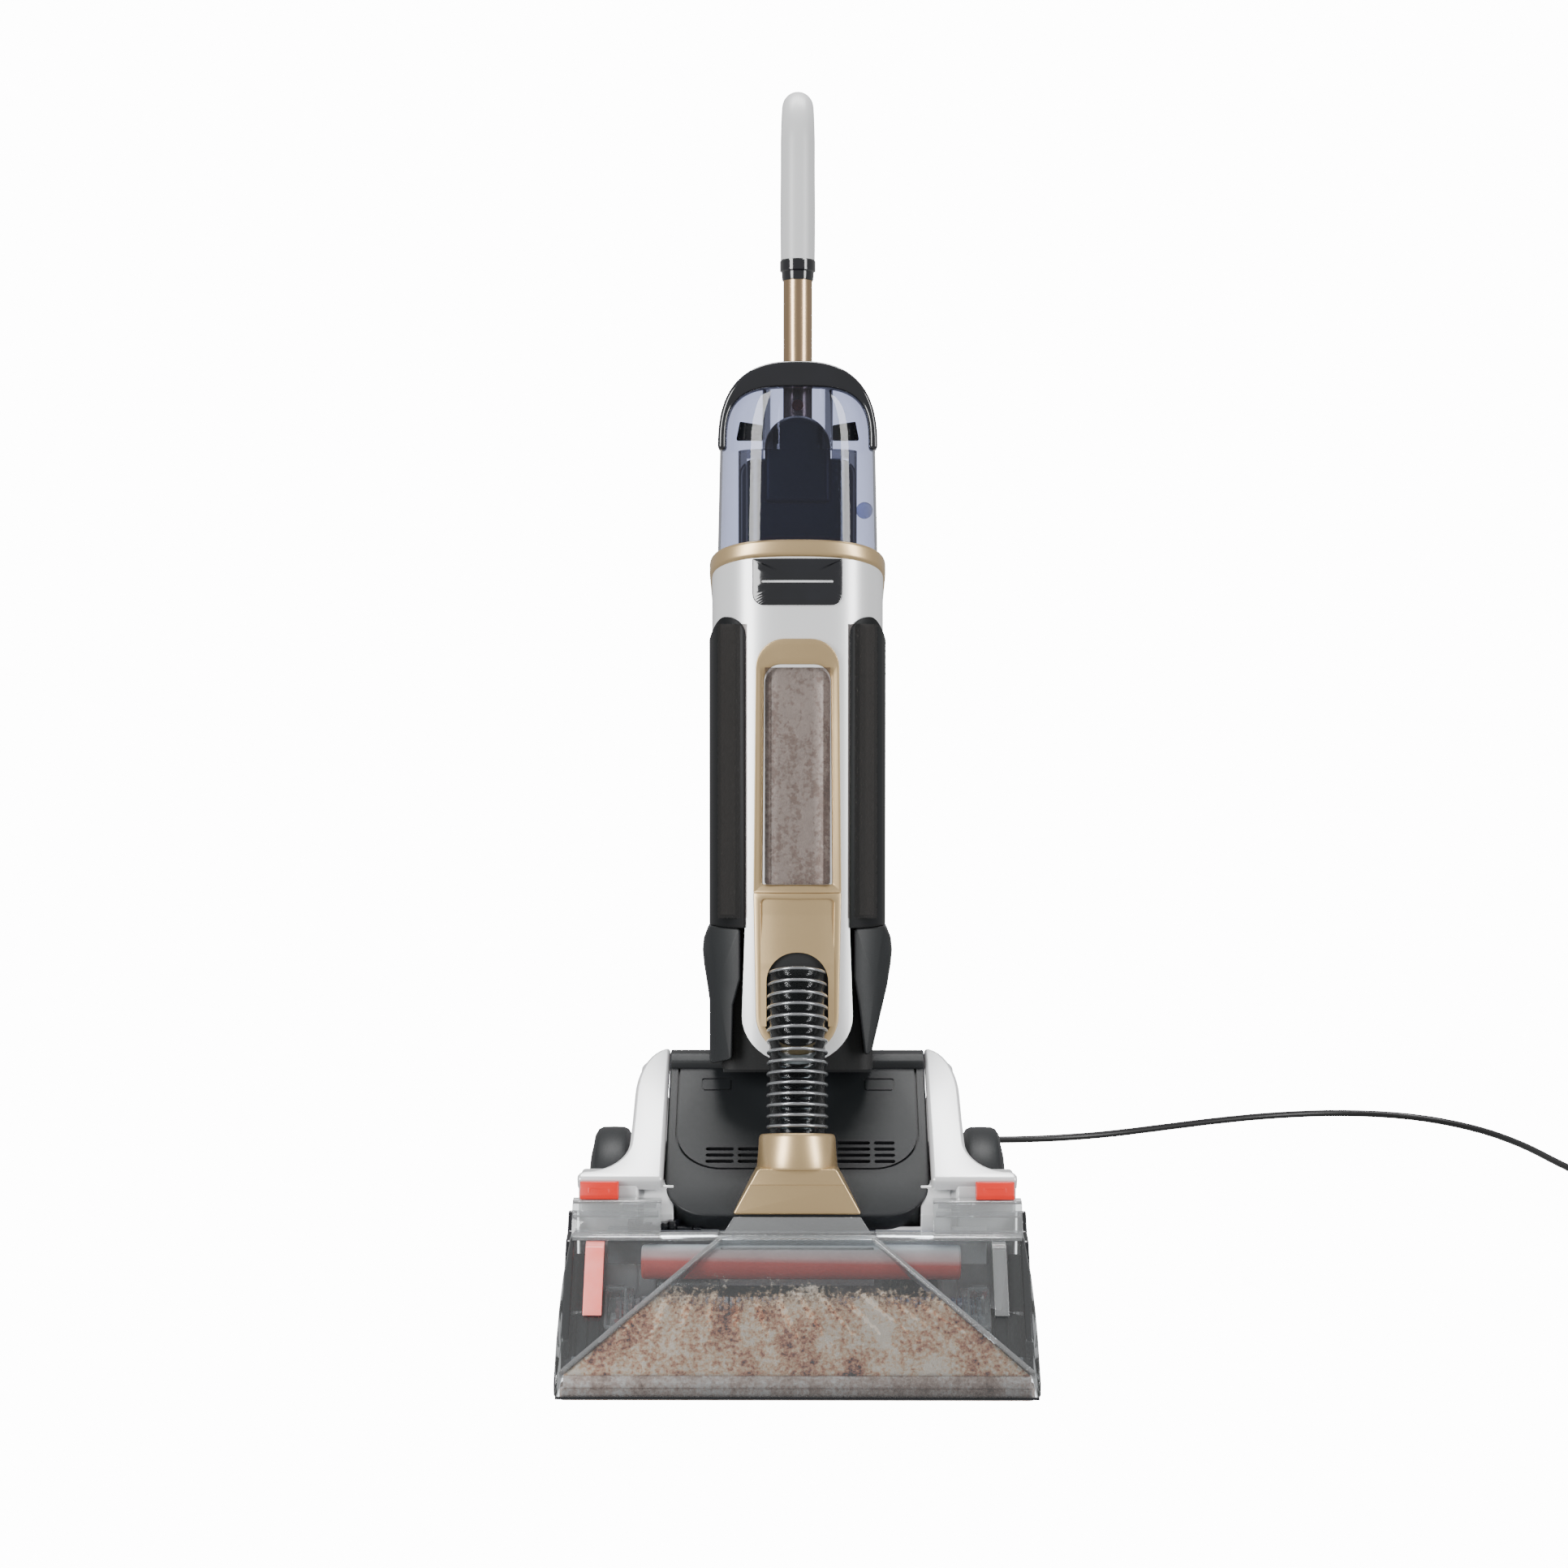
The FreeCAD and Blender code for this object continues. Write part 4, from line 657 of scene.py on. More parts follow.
def steel():
    # Zinc-plated steel: bright, slightly cloudy.
    return surface("zinc_plated_steel", linear("#A9ABAE"), linear("#8F9194"), 0.01, 0.3, 0.1, 0.0008, 0.00001,
                   Metallic=1.0)


def hose_wire():
    # Coated spring wire: mid grey metal with a bright line along each turn.
    return surface("grey_coated_spring_wire", linear("#A4A6A8"), linear("#888A8D"), 0.01, 0.24, 0.06, 0.001,
                   0.00001, Metallic=0.75)


def copper_button():
    # Metallic paint on a small moulded button: dark copper with soft highlights.
    return surface("copper_painted_button", linear("#A8593C"), linear("#8D4630"), 0.004, 0.3, 0.08, 0.0005,
                   0.00001, Metallic=0.7)


def belt_rubber():
    # Moulded rubber, matt and slightly dusty.
    return surface("moulded_black_rubber", linear("#17181A"), linear("#222326"), 0.02, 0.62, 0.1, 0.0012,
                   0.00008)


def cord_vinyl():
    # Extruded PVC cable jacket: black with a satin line of light along it.
    return surface("extruded_PVC_jacket", linear("#0C0C0D"), linear("#151516"), 0.03, 0.38, 0.07, 0.0012,
                   0.00002)


def smoked_tank():
    # Blue-smoked polycarbonate, injection moulded and polished: cool grey tint, deep at its edges.
    return clear_moulding("smoked_polycarbonate", shade("smoke"), 0.05, 0.02, 0.03, 0.9, 0.8, 0.22)


def clear_hood():
    # Clear polycarbonate, polished: near colourless with cool grey edges.
    return clear_moulding("clear_polycarbonate", linear("#F2F4F5"), 0.06, 0.03, 0.03, 0.5)


def clear_rib():
    # Thick edges of a clear moulding, where the light gathers.
    return clear_moulding("clear_polycarbonate_edge", linear("#EEF0F1"), 0.08, 0.01, 0.16, 0.7)


def clear_pane():
    # Thin clear polycarbonate window, faintly warm and nearly free of haze.
    return clear_moulding("clear_window_pane", linear("#F0ECEA"), 0.04, 0.02, 0.01, 0.15)


def clear_hose():
    # Clear PVC hose wall: faint grey film between the wires.
    return clear_moulding("clear_PVC_hose_wall", linear("#DDE0E1"), 0.12, 0.004, 0.0, 0.2, 0.2)


def painted_shade_hollow():
    # Painted shade: a near-black finish that stands in for the unlit inside of the casing, where only shade
    # falls.
    return surface("unlit_casing_inside", linear("#050506"), linear("#0A0A0B"), 0.02, 0.7, 0.05, 0.002,
                   0.00001)


@made_once
def froth(name, colours, bubble, streak, ragged, spread):
    """Dirty foam: bubbles of `bubble` metres in the given colours, which share out the noise between the two
    values of `spread`, in soft upright streaks of `streak` metres. Between the two floor heights of `ragged`
    it breaks up, if they are given."""
    tree, spot = new_material(name)
    fine = add_node(tree, "ShaderNodeTexNoise", inputs={"Vector": spot, "Scale": 1 / bubble, "Detail": 4.0,
                                                        "Roughness": 0.65})
    drawn = add_node(tree, "ShaderNodeMapping", inputs={"Vector": spot,
                                                        "Scale": (1, 1, 0.3)}).outputs["Vector"]
    slow = add_node(tree, "ShaderNodeTexNoise", inputs={"Vector": drawn, "Scale": 1 / streak, "Detail": 3.0})
    both = add_node(tree, "ShaderNodeMath", {"operation": "MULTIPLY_ADD"}, {
        0: slow.outputs["Fac"], 1: 0.9, 2: fine.outputs["Fac"]})
    level = add_node(tree, "ShaderNodeMapRange", inputs={
        "Value": both.outputs[0], "From Min": spread[0], "From Max": spread[1]})
    ramp = add_node(tree, "ShaderNodeValToRGB", inputs={"Fac": level.outputs["Result"]})
    ramp.color_ramp.elements[0].color = linear(colours[0])
    ramp.color_ramp.elements[-1].color = linear(colours[-1])
    for number, code in enumerate(colours[1:-1], start=1):
        ramp.color_ramp.elements.new(number / (len(colours) - 1)).color = linear(code)
    relief = add_node(tree, "ShaderNodeBump", inputs={
        "Height": fine.outputs["Fac"], "Strength": 0.6, "Distance": bubble * 0.5})
    given = {"Base Color": ramp.outputs["Color"], "Roughness": 0.45, "Normal": relief.outputs["Normal"]}
    if ragged:
        height = add_node(tree, "ShaderNodeSeparateXYZ", inputs={"Vector": spot}).outputs["Z"]
        fade = add_node(tree, "ShaderNodeMapRange", inputs={
            "Value": height, "From Min": ragged[0], "From Max": ragged[1], "To Min": 0.85, "To Max": -0.95})
        cover = add_node(tree, "ShaderNodeMath", {"operation": "ADD"}, {
            0: fade.outputs["Result"], 1: slow.outputs["Fac"]})
        grain = add_node(tree, "ShaderNodeMath", {"operation": "MULTIPLY_ADD"}, {
            0: fine.outputs["Fac"], 1: 1.3, 2: cover.outputs[0]})
        given["Alpha"] = add_node(tree, "ShaderNodeMapRange", inputs={
            "Value": grain.outputs[0], "From Min": 0.95, "From Max": 1.2}).outputs["Result"]
    shader = add_node(tree, "ShaderNodeBsdfPrincipled", inputs=given)
    add_node(tree, "ShaderNodeOutputMaterial", inputs={"Surface": shader.outputs["BSDF"]})


def carpet_froth():
    # Foam drawn off a dirty carpet: cream bubbles with tan and brown soil, in streaks drawn upwards. The
    # bubbles are drawn coarser than real ones, so that they show.
    return froth("dirty_carpet_foam", ["#2A1B15", "#96533A", "#C98663", "#E6B78F", "#F3D6B6", "#FBEBDA"],
                 0.0036, 0.03, (0.030, 0.100), (0.70, 1.10))


def lip_froth():
    # Thin wet foam along the lip, greyer and finer.
    return froth("wet_lip_foam", ["#4A3A33", "#A98C7E", "#D2BBAF", "#F0E8E3"], 0.0034, 0.02, None, (0.5, 1.1))


def tank_froth():
    # Dirty water with a grey-pink froth, smeared down the window.
    return froth("dirty_tank_water", ["#8C7C77", "#BCACA6", "#CCBEB8", "#D4C8C3", "#FCF9F7"],
                 0.004, 0.014, None, (0.42, 1.0))


@made_once
def banded(name, centre, stops, twist):
    """A roll whose colours run round it, from its back over its top to its front, and drift along it by
    `twist` radians a metre; centre is (deep, up) in millimetres, and stops are (share of a turn, colour)."""
    tree, spot = new_material(name)
    moved = add_node(tree, "ShaderNodeVectorMath", {"operation": "SUBTRACT"}, {0: spot, 1: foot(0, *centre)})
    parts = add_node(tree, "ShaderNodeSeparateXYZ", inputs={"Vector": moved.outputs[0]})
    angle = add_node(tree, "ShaderNodeMath", {"operation": "ARCTAN2"}, {
        0: parts.outputs["Z"], 1: parts.outputs["Y"]})
    turn = add_node(tree, "ShaderNodeMath", {"operation": "MULTIPLY_ADD"}, {
        0: parts.outputs["X"], 1: twist, 2: angle.outputs[0]})
    whole = add_node(tree, "ShaderNodeMath", {"operation": "MULTIPLY"}, {
        0: turn.outputs[0], 1: 1 / (2 * math.pi)})
    share = add_node(tree, "ShaderNodeMath", {"operation": "FRACT"}, {0: whole.outputs[0]})
    ramp = add_node(tree, "ShaderNodeValToRGB", inputs={"Fac": share.outputs[0]})
    ramp.color_ramp.elements[0].color = linear(stops[0][1])
    ramp.color_ramp.elements[1].position = stops[-1][0]
    ramp.color_ramp.elements[1].color = linear(stops[-1][1])
    for place, code in stops[1:-1]:
        ramp.color_ramp.elements.new(place).color = linear(code)
    strand = add_node(tree, "ShaderNodeTexNoise", inputs={"Vector": spot, "Scale": 900.0})
    gloss = add_node(tree, "ShaderNodeMapRange", inputs={
        "Value": strand.outputs["Fac"], "To Min": 0.3, "To Max": 0.55})
    shader = add_node(tree, "ShaderNodeBsdfPrincipled", inputs={
        "Base Color": ramp.outputs["Color"], "Roughness": gloss.outputs["Result"]})
    add_node(tree, "ShaderNodeOutputMaterial", inputs={"Surface": shader.outputs["BSDF"]})


def bristle_nylon():
    # Dyed nylon filament, glossy along its length: rows of red, blue, white and pink tufts.
    return banded("dyed_nylon_bristles", BRUSH_CENTRE,
                  ((0.0, "#C9302B"), (0.14, "#7E8EB5"), (0.25, "#DCE2EC"),
                                                       (0.36, "#EEF0F4"), (0.45, "#F3A9A6"),
                                                       (0.56, "#E04A42"), (0.8, "#B92B26")), -4.5)


def spray_tint():
    # Clear moulded duct that shows the brush's dye: red below, blue, white and pink over its top.
    return banded("tinted_spray_duct", SPRAY_CENTRE, ((0.0, "#E0463C"), (0.10, "#7E93C4"), (0.17, "#C9D3E6"),
                                                      (0.3, "#F6F8FA"), (0.42, "#F7C9C6"), (0.47, "#EE6259"),
                                                      (0.8, "#C9302B")), -1.2)


def paint_node(name, finish):
    """Give a CAD node that stays in sight its finish."""
    mesh = frame["nodes"][name].data
    mesh.materials.clear()
    mesh.materials.append(finish)


# ---------------------------------------------------------------- cord

# The cord from its exit to where its coil starts, as foot() takes it: across, back and up.
CORD_ROUTE = [(70, 371.4, 24), (71, 402, 20), (73, 440, 8), (75, 484, 3.6), (70, 540, 3.6), (66, 604, 3.6),
              (76, 676, 3.6), (112, 744, 3.6), (172, 786, 3.6), (246, 788, 3.6), (318, 806, 3.6),
              (384, 838, 3.6), (451, 871, 3.6), (521, 897, 3.6), (594, 908, 3.6), (665, 893, 3.6),
              (720, 842, 3.6), (752, 772, 3.6), (768, 696, 3.6), (786, 630, 3.6), (801, 594, 3.6)]
# From the top of the coil down to the plug.
CORD_END = [(921.4, 566, 24.8), (921.4, 582, 19), (921.4, 596, 10.5), (921.4, 610, 8.3), (921.4, 624, 8.3)]
PLUG_SPOT = (921.4, 634, 8.3)


def coil_turns():
    """Four layers of five rings, each ring stepping to the next in one sector, and each layer climbing to
    the next in another."""
    middle, radii, floor_up, pitch = (865, 552), (56.4, 49.2, 42.0, 34.8, 27.6), 3.6, 7.2
    # In degrees: between two points, the width of a step, and where the steps, the climb and the end come.
    stride, sector, first_step, climb_start, last_end = 15, 60, 240, 1620, 1630
    turns = []
    angle = 170
    for layer in range(4):
        top = layer == 3
        rings = radii if layer % 2 == 0 else radii[::-1]
        start = angle
        last = start + (last_end if top else climb_start + sector - stride)
        while angle <= last:
            passed = angle - start
            radius = rings[0]
            for ring in range(4):
                share = min(max((passed - first_step - 360 * ring) / sector, 0), 1)
                radius += (rings[ring + 1] - rings[ring]) * share
            climb = 0 if top else min(max((passed - climb_start) / sector, 0), 1)
            x, deep = swing(radius, middle, math.radians(angle))
            turns.append((x, deep, floor_up + pitch * (layer + climb)))
            angle += stride
    return turns


class MakeCord(bpy.types.Operator):
    """Lay the mains cord from its exit to its put-away coil, with strain relief and plug"""
    bl_idname = "cleaner.make_cord"
    bl_label = "Mains cord"

    def execute(self, context):
        route = CORD_ROUTE + coil_turns() + CORD_END
        curve = bpy.data.curves.new("mains_cord", "CURVE")
        curve.dimensions = "3D"
        line = curve.splines.new("NURBS")
        line.points.add(len(route) - 1)
        for point, spot in zip(line.points, route):
            point.co = (*foot(*spot), 1)
        line.order_u = 3
        line.use_endpoint_u = True
        line.resolution_u = 4
        curve.bevel_depth = sizes().cord_width / 2
        curve.bevel_resolution = 3
        curve.use_fill_caps = True
        flex = bpy.data.objects.new("mains_cord", curve)
        context.scene.collection.objects.link(flex)
        curve.materials.append(cord_vinyl())
        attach(flex, "foot")
        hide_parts("power_cord", "cord_coil")
        relief = turned([(0, 0), (0, 7.4), (1.5, 8), (9, 7), (9.6, 6), (11, 6), (11.6, 6.8), (16, 6.2),
                         (16.6, 5.2), (18, 5.2), (18.6, 6), (22, 5.6), (22.6, 4.7), (24, 4.7), (24.6, 5.2),
                         (28, 4.7), (28, 3.6), (0, 3.4)], (70, 346.4, 27.2), (0.033, 30.6, -4), 32)
        piece("cord_strain_relief", relief, foot, belt_rubber(), "foot", ["strain_relief"])
        points, faces = extrude(rounded(slab_corners(-13, 13, -8, 8, 5)), 0, 34, "y")
        # The plug is a little smaller at its cord end.
        points = [(0.88 * x, y, 0.85 * z) if y < 1 else (x, y, z) for x, y, z in points]
        body = moved((points, faces), PLUG_SPOT)
        neck = turned([(-22, 0), (-22, 4.2), (-16, 4.8), (0, 6), (1, 0)], PLUG_SPOT, (0, 1, 0), 28)
        plug = piece("plug_body", merged(body, neck), foot, belt_rubber(), "foot", ["cord_plug"],
                     edge=1.6)
        blade = moved(extrude(rounded(slab_corners(-0.8, 0.8, -3.2, 3.2, 0.6), 3), 33, 51, "y"), PLUG_SPOT)
        pins = [moved(blade, (side, 0, 0)) for side in (-6.35, 6.35)]
        blades = piece("plug_blades", merged(*pins), foot, steel(), "foot")
        return {"FINISHED"}


# ---------------------------------------------------------------- foot covers

HOOD_PLACE = on_slope((97, 118), (246, 217))
FENDER_PLACE = on_slope((110, 146), (255, 219))
# The hood's vents, left and right: where each starts, how many rows it has and its two slot widths.
VENTS = ((-74, 3, 23), (32, 4, 27))
VENT_FOOT, VENT_PITCH = 55, 6.6


class MakeHood(bpy.types.Operator):
    """Black hood over the motors, with its panel lines, recesses and vents"""
    bl_idname = "cleaner.make_hood"
    bl_label = "Motor hood"

    def execute(self, context):
        outline = rounded([(-106, 0, 36), (106, 0, 36), (106, 178, 3), (-106, 178, 3)], 12)
        slab = extrude(outline, -26, 0)
        line = rounded([(-99, 48, 38), (99, 48, 38), (99, 190, 0), (-99, 190, 0)], 12)
        inside = rounded([(-97.2, 49.8, 36.4), (97.2, 49.8, 36.4), (97.2, 190, 0), (-97.2, 190, 0)], 12)
        cuts = [frame_ring(line, inside, (-2.2, -2.2), (3, 3))]
        for left in (-79, 55):
            outer = rounded(slab_corners(left, left + 25, 134, 148, 2), 4)
            inner = rounded(slab_corners(left + 1.4, left + 23.6, 135.4, 146.6, 1.4), 4)
            cuts.append(frame_ring(outer, inner, (-0.7, -0.7), (3, 3)))
        for left, rows, wide in VENTS:
            for row in range(rows):
                low = VENT_FOOT + VENT_PITCH * row
                for start, width in ((left, wide), (left + wide + 3, 17)):
                    cuts.append(extrude(rounded(slab_corners(start, start + width, low, low + 3.4, 1.7), 4),
                                        -6, 3))
        piece("hood_shell", slab, HOOD_PLACE, black_abs(), "foot", ["motor_cover"], edge=1.6,
              cuts_after=cuts)
        # Painted shade: near-black slabs just behind the vent slots stand in for the shade inside the hood.
        slots = []
        for left, rows, _ in VENTS:
            for row in range(rows):
                low = VENT_FOOT - 1 + VENT_PITCH * row
                slots.append(extrude([(left - 1, low), (left + 48, low), (left + 48, low + 5.4),
                                      (left - 1, low + 5.4)], -7, -5.4))
        piece("hood_vent_painted_shade", merged(*slots), HOOD_PLACE, painted_shade_hollow(), "foot")
        back = [(236, 216), (252, 217), (256, 214), (256, 150), (250, 146), (236, 146)]
        lid = extrude([(230, 212), (238, 217.2), (252, 217.2), (256, 213), (256, 209), (230, 205)], -106, 106,
                      "x")
        wings = [extrude(back, low, high, "x") for low, high in ((-106, -66), (66, 106))]
        piece("hood_back", merged(lid, *wings), foot, black_abs(), "foot", edge=1.2)
        corner = extrude(rounded([(103, 101, 1), (104, 117, 3), (122, 135, 5), (132, 138, 1), (132, 101, 1)],
                                 4),
                         98, 122, "x")
        piece("cover_corners", both_sides(corner), foot, pearl_paint(), "foot",
              edge=1.5)
        skirt = extrude([(122, 100), (122, 60), (128, 60), (132, 108), (128, 116)], -104, 104, "x")
        piece("hood_skirt", skirt, foot, black_abs(), "foot", edge=0.8)
        return {"FINISHED"}


class MakeFenders(bpy.types.Operator):
    """Pearl side covers that flare into a wing in front of each wheel"""
    bl_idname = "cleaner.make_fenders"
    bl_label = "Side covers"

    def execute(self, context):
        shoulder = [(106.6 + 27 * math.sin(math.radians(a)), 102 + 60 * math.cos(math.radians(a)))
                    for a in range(0, 91, 9)]
        flare = [(168 - 33.4 * math.cos(math.radians(a)), 44 - 36 * math.sin(math.radians(a)))
                 for a in range(0, 91, 9)]
        outline = shoulder + [(134.0, 70)] + flare + [(172.5, 7), (174.4, 3), (174.4, -3), (106.6, -3)]
        slab = extrude(outline, -13, 0)
        wall = extrude(rounded([(112, 12, 4), (112, 126, 4), (150, 148, 10), (214, 176, 20), (252, 204, 16),
                                (300, 196, 26), (340, 150, 20), (340, 57, 6), (212, 57, 6), (206, 12, 8)], 7),
                       112, 131, "x")
        wing = extrude(rounded([(110.5, 12, 3), (110.5, 139, 3), (122, 144, 6), (150, 142, 16),
                                (186, 122, 16), (204, 98, 12), (208, 12, 6)], 6), 126, 173.5, "x")
        wheel_arch = turned([(-12, 74), (60, 74), (60, 0), (-12, 0)], (128, *WHEEL_CENTRE), ACROSS, 64)
        for side in ("right", "left"):
            piece("side_cover_" + side, sided(side, slab), FENDER_PLACE, pearl_paint(), "foot",
                  ["fender_" + side], edge=5.5, segments=5, smooth=50)
            piece("side_wall_" + side, sided(side, wall), foot, pearl_paint(), "foot",
                  edge=4, segments=4, smooth=50)
            piece("wing_" + side, sided(side, wing), foot, pearl_paint(), "foot",
                  edge=3, segments=4, cuts=[sided(side, wheel_arch)], smooth=50)
        return {"FINISHED"}


class MakeWheels(bpy.types.Operator):
    """Black rear wheels with a rounded tread, hub cap and spokes"""
    bl_idname = "cleaner.make_wheels"
    bl_label = "Wheels"

    def execute(self, context):
        tread = [(0, 70), (9, 69.7), (12.5, 68), (15, 64), (15.6, 60), (17, 54), (18, 50)]
        hub = [(17, 47), (13, 45), (13, 20), (17.5, 18), (18, 15), (18, 0)]
        profile = [(-18, 0)] + [(-a, r) for a, r in tread[:0:-1]] + tread + hub
        spoke_count = 10
        for side, sign in (("left", -1), ("right", 1)):
            centre = Vector((sign * 158, *WHEEL_CENTRE))
            wheel = turned([(sign * a, r) for a, r in profile], centre, ACROSS, 72)
            piece("wheel_moulding_" + side, wheel, foot, black_abs(), side + "_wheel", ["wheel_" + side],
                  smooth=30)
            spots = []
            for number in range(spoke_count):
                out = spoke(2 * math.pi * number / spoke_count)
                spots.append((foot(*(centre + ACROSS * sign * 14.4 + out * 32)), turn_to(out, ACROSS)))
            spokes = repeat("wheel_spokes_" + side, spots, bar_shape,
                            {"Width": 0.004, "Length": 0.003, "Height": 0.026}, black_abs())
            finish_mesh(spokes, black_abs(), side + "_wheel")
        return {"FINISHED"}


class MakeLatches(bpy.types.Operator):
    """Red slide latches with a raised frame for the thumb"""
    bl_idname = "cleaner.make_latches"
    bl_label = "Nozzle latches"

    def execute(self, context):
        block = extrude(rounded([(97.2, 130.5, 1), (106, 130.5, 1), (108, 143, 2.5), (103, 143.6, 2),
                                 (97.6, 134, 2)],
                                5), 141, 171.5, "x")
        place = on_slope((97.4, 130.5), (104.2, 143.4))
        thumb_frame = frame_ring(rounded(slab_corners(147, 165, 3, 10, 1), 3),
                                 rounded(slab_corners(149, 163, 5, 8, 0.6), 3), (0, 0), (1.4, 1.4))
        for side in ("left", "right"):
            piece("latch_slide_" + side, sided(side, block), foot, red_plastic(), side + "_latch",
                  ["nozzle_latch_" + side], edge=0.8)
            piece("latch_frame_" + side, sided(side, thumb_frame), place, red_plastic(), side + "_latch",
                  edge=0.3, segments=2)
        return {"FINISHED"}


class MakeHosePlate(bpy.types.Operator):
    """Champagne plate and the round collar that takes the hose"""
    bl_idname = "cleaner.make_hose_plate"
    bl_label = "Hose plate and collar"

    def execute(self, context):
        place = on_slope((95.5, 119), (99, 152))
        outline = rounded([(-51, 0, 1.5), (51, 0, 1.5), (31, 36, 4), (-31, 36, 4)], 5)
        line = extrude([(-60, 23.2), (60, 23.2), (60, 23.8), (-60, 23.8)], -0.6, 9)
        piece("hose_plate_moulding", extrude(outline, -34, 0), place, champagne_paint(), "foot",
              ["hose_plate"], edge=1.2, cuts_after=[line])
        collar = turned([(5, 24), (5, 31.6), (7, 32.4), (20, 31.2), (31, 30.6), (33, 29.9), (34, 28.6),
                         (34, 26), (33, 25.1), (20, 24.9), (0, 24)], COLLAR_SPOT, COLLAR_AXIS, 72, caps=False)
        piece("hose_collar_moulding", collar, foot, champagne_paint(), "foot", ["hose_collar"])
        return {"FINISHED"}


# ---------------------------------------------------------------- hose

def hose_line(count):
    """Spots and directions along the hose, from the collar to the scoop."""
    start = foot(*COLLAR_SPOT) + COLLAR_AXIS * 0.024
    knee = start + COLLAR_AXIS * 0.064
    end = upright(0, BODY_FRONT + 6, 176)
    line = []
    for number in range(count):
        t = number / (count - 1)
        spot = start * (1 - t) ** 2 + knee * 2 * t * (1 - t) + end * t * t
        ahead = ((knee - start) * (1 - t) + (end - knee) * t).normalized()
        line.append((spot, ahead))
    return line


class MakeHose(bpy.types.Operator):
    """Clear hose wound with wire, bending between the foot and the body"""
    bl_idname = "cleaner.make_hose"
    bl_label = "Suction hose"

    def execute(self, context):
        fine = hose_line(240)
        last = len(fine) - 1
        length = sum((b[0] - a[0]).length for a, b in zip(fine, fine[1:]))
        turns = int(length / sizes().hose_pitch)
        radius, swell, wall_thickness = 0.0222, 0.0008, 0.0012
        outside = []
        inside = []
        for number, (spot, ahead) in enumerate(fine):
            ripple = 0.5 + 0.5 * math.cos(2 * math.pi * turns * number / last)
            reach = radius + swell * ripple
            out = ACROSS.cross(ahead)
            outside.append(round_loop(spot, ACROSS, out, reach, 40))
            inside.append(round_loop(spot, ACROSS, out, reach - wall_thickness, 40))
        wall = raw_object("hose_wall", skin(outside + inside[::-1], wrap=True))
        between = ("foot", "upright", fine[0][0], fine[-1][0])
        finish_mesh(wall, clear_hose(), between, ["suction_hose"], 60)
        spots = []
        for number in range(turns + 1):
            spot, ahead = fine[last * number // turns]
            spots.append((spot, turn_to(ahead, ACROSS)))
        wire = repeat("hose_wire", spots, hoop_shape, {"Radius": 0.0235, "Wire": sizes().hose_wire / 2},
                      hose_wire())
        finish_mesh(wire, hose_wire(), between, smooth=80)
        return {"FINISHED"}


# ---------------------------------------------------------------- nozzle

WINDOW_PLACE = on_slope((4, 20), (80, 107))


def nozzle_side(x, deep, up):
    """A spot on the foot, drawn in by up to 4 % towards the nozzle's top, 107 mm up."""
    return foot(x * (1 - 0.04 * max(up / 107, 0) ** 3), deep, up)


def diagonal(up, width=0.0):
    """Half the channel's width at a distance up the window."""
    return 184 - 1.074 * up - width


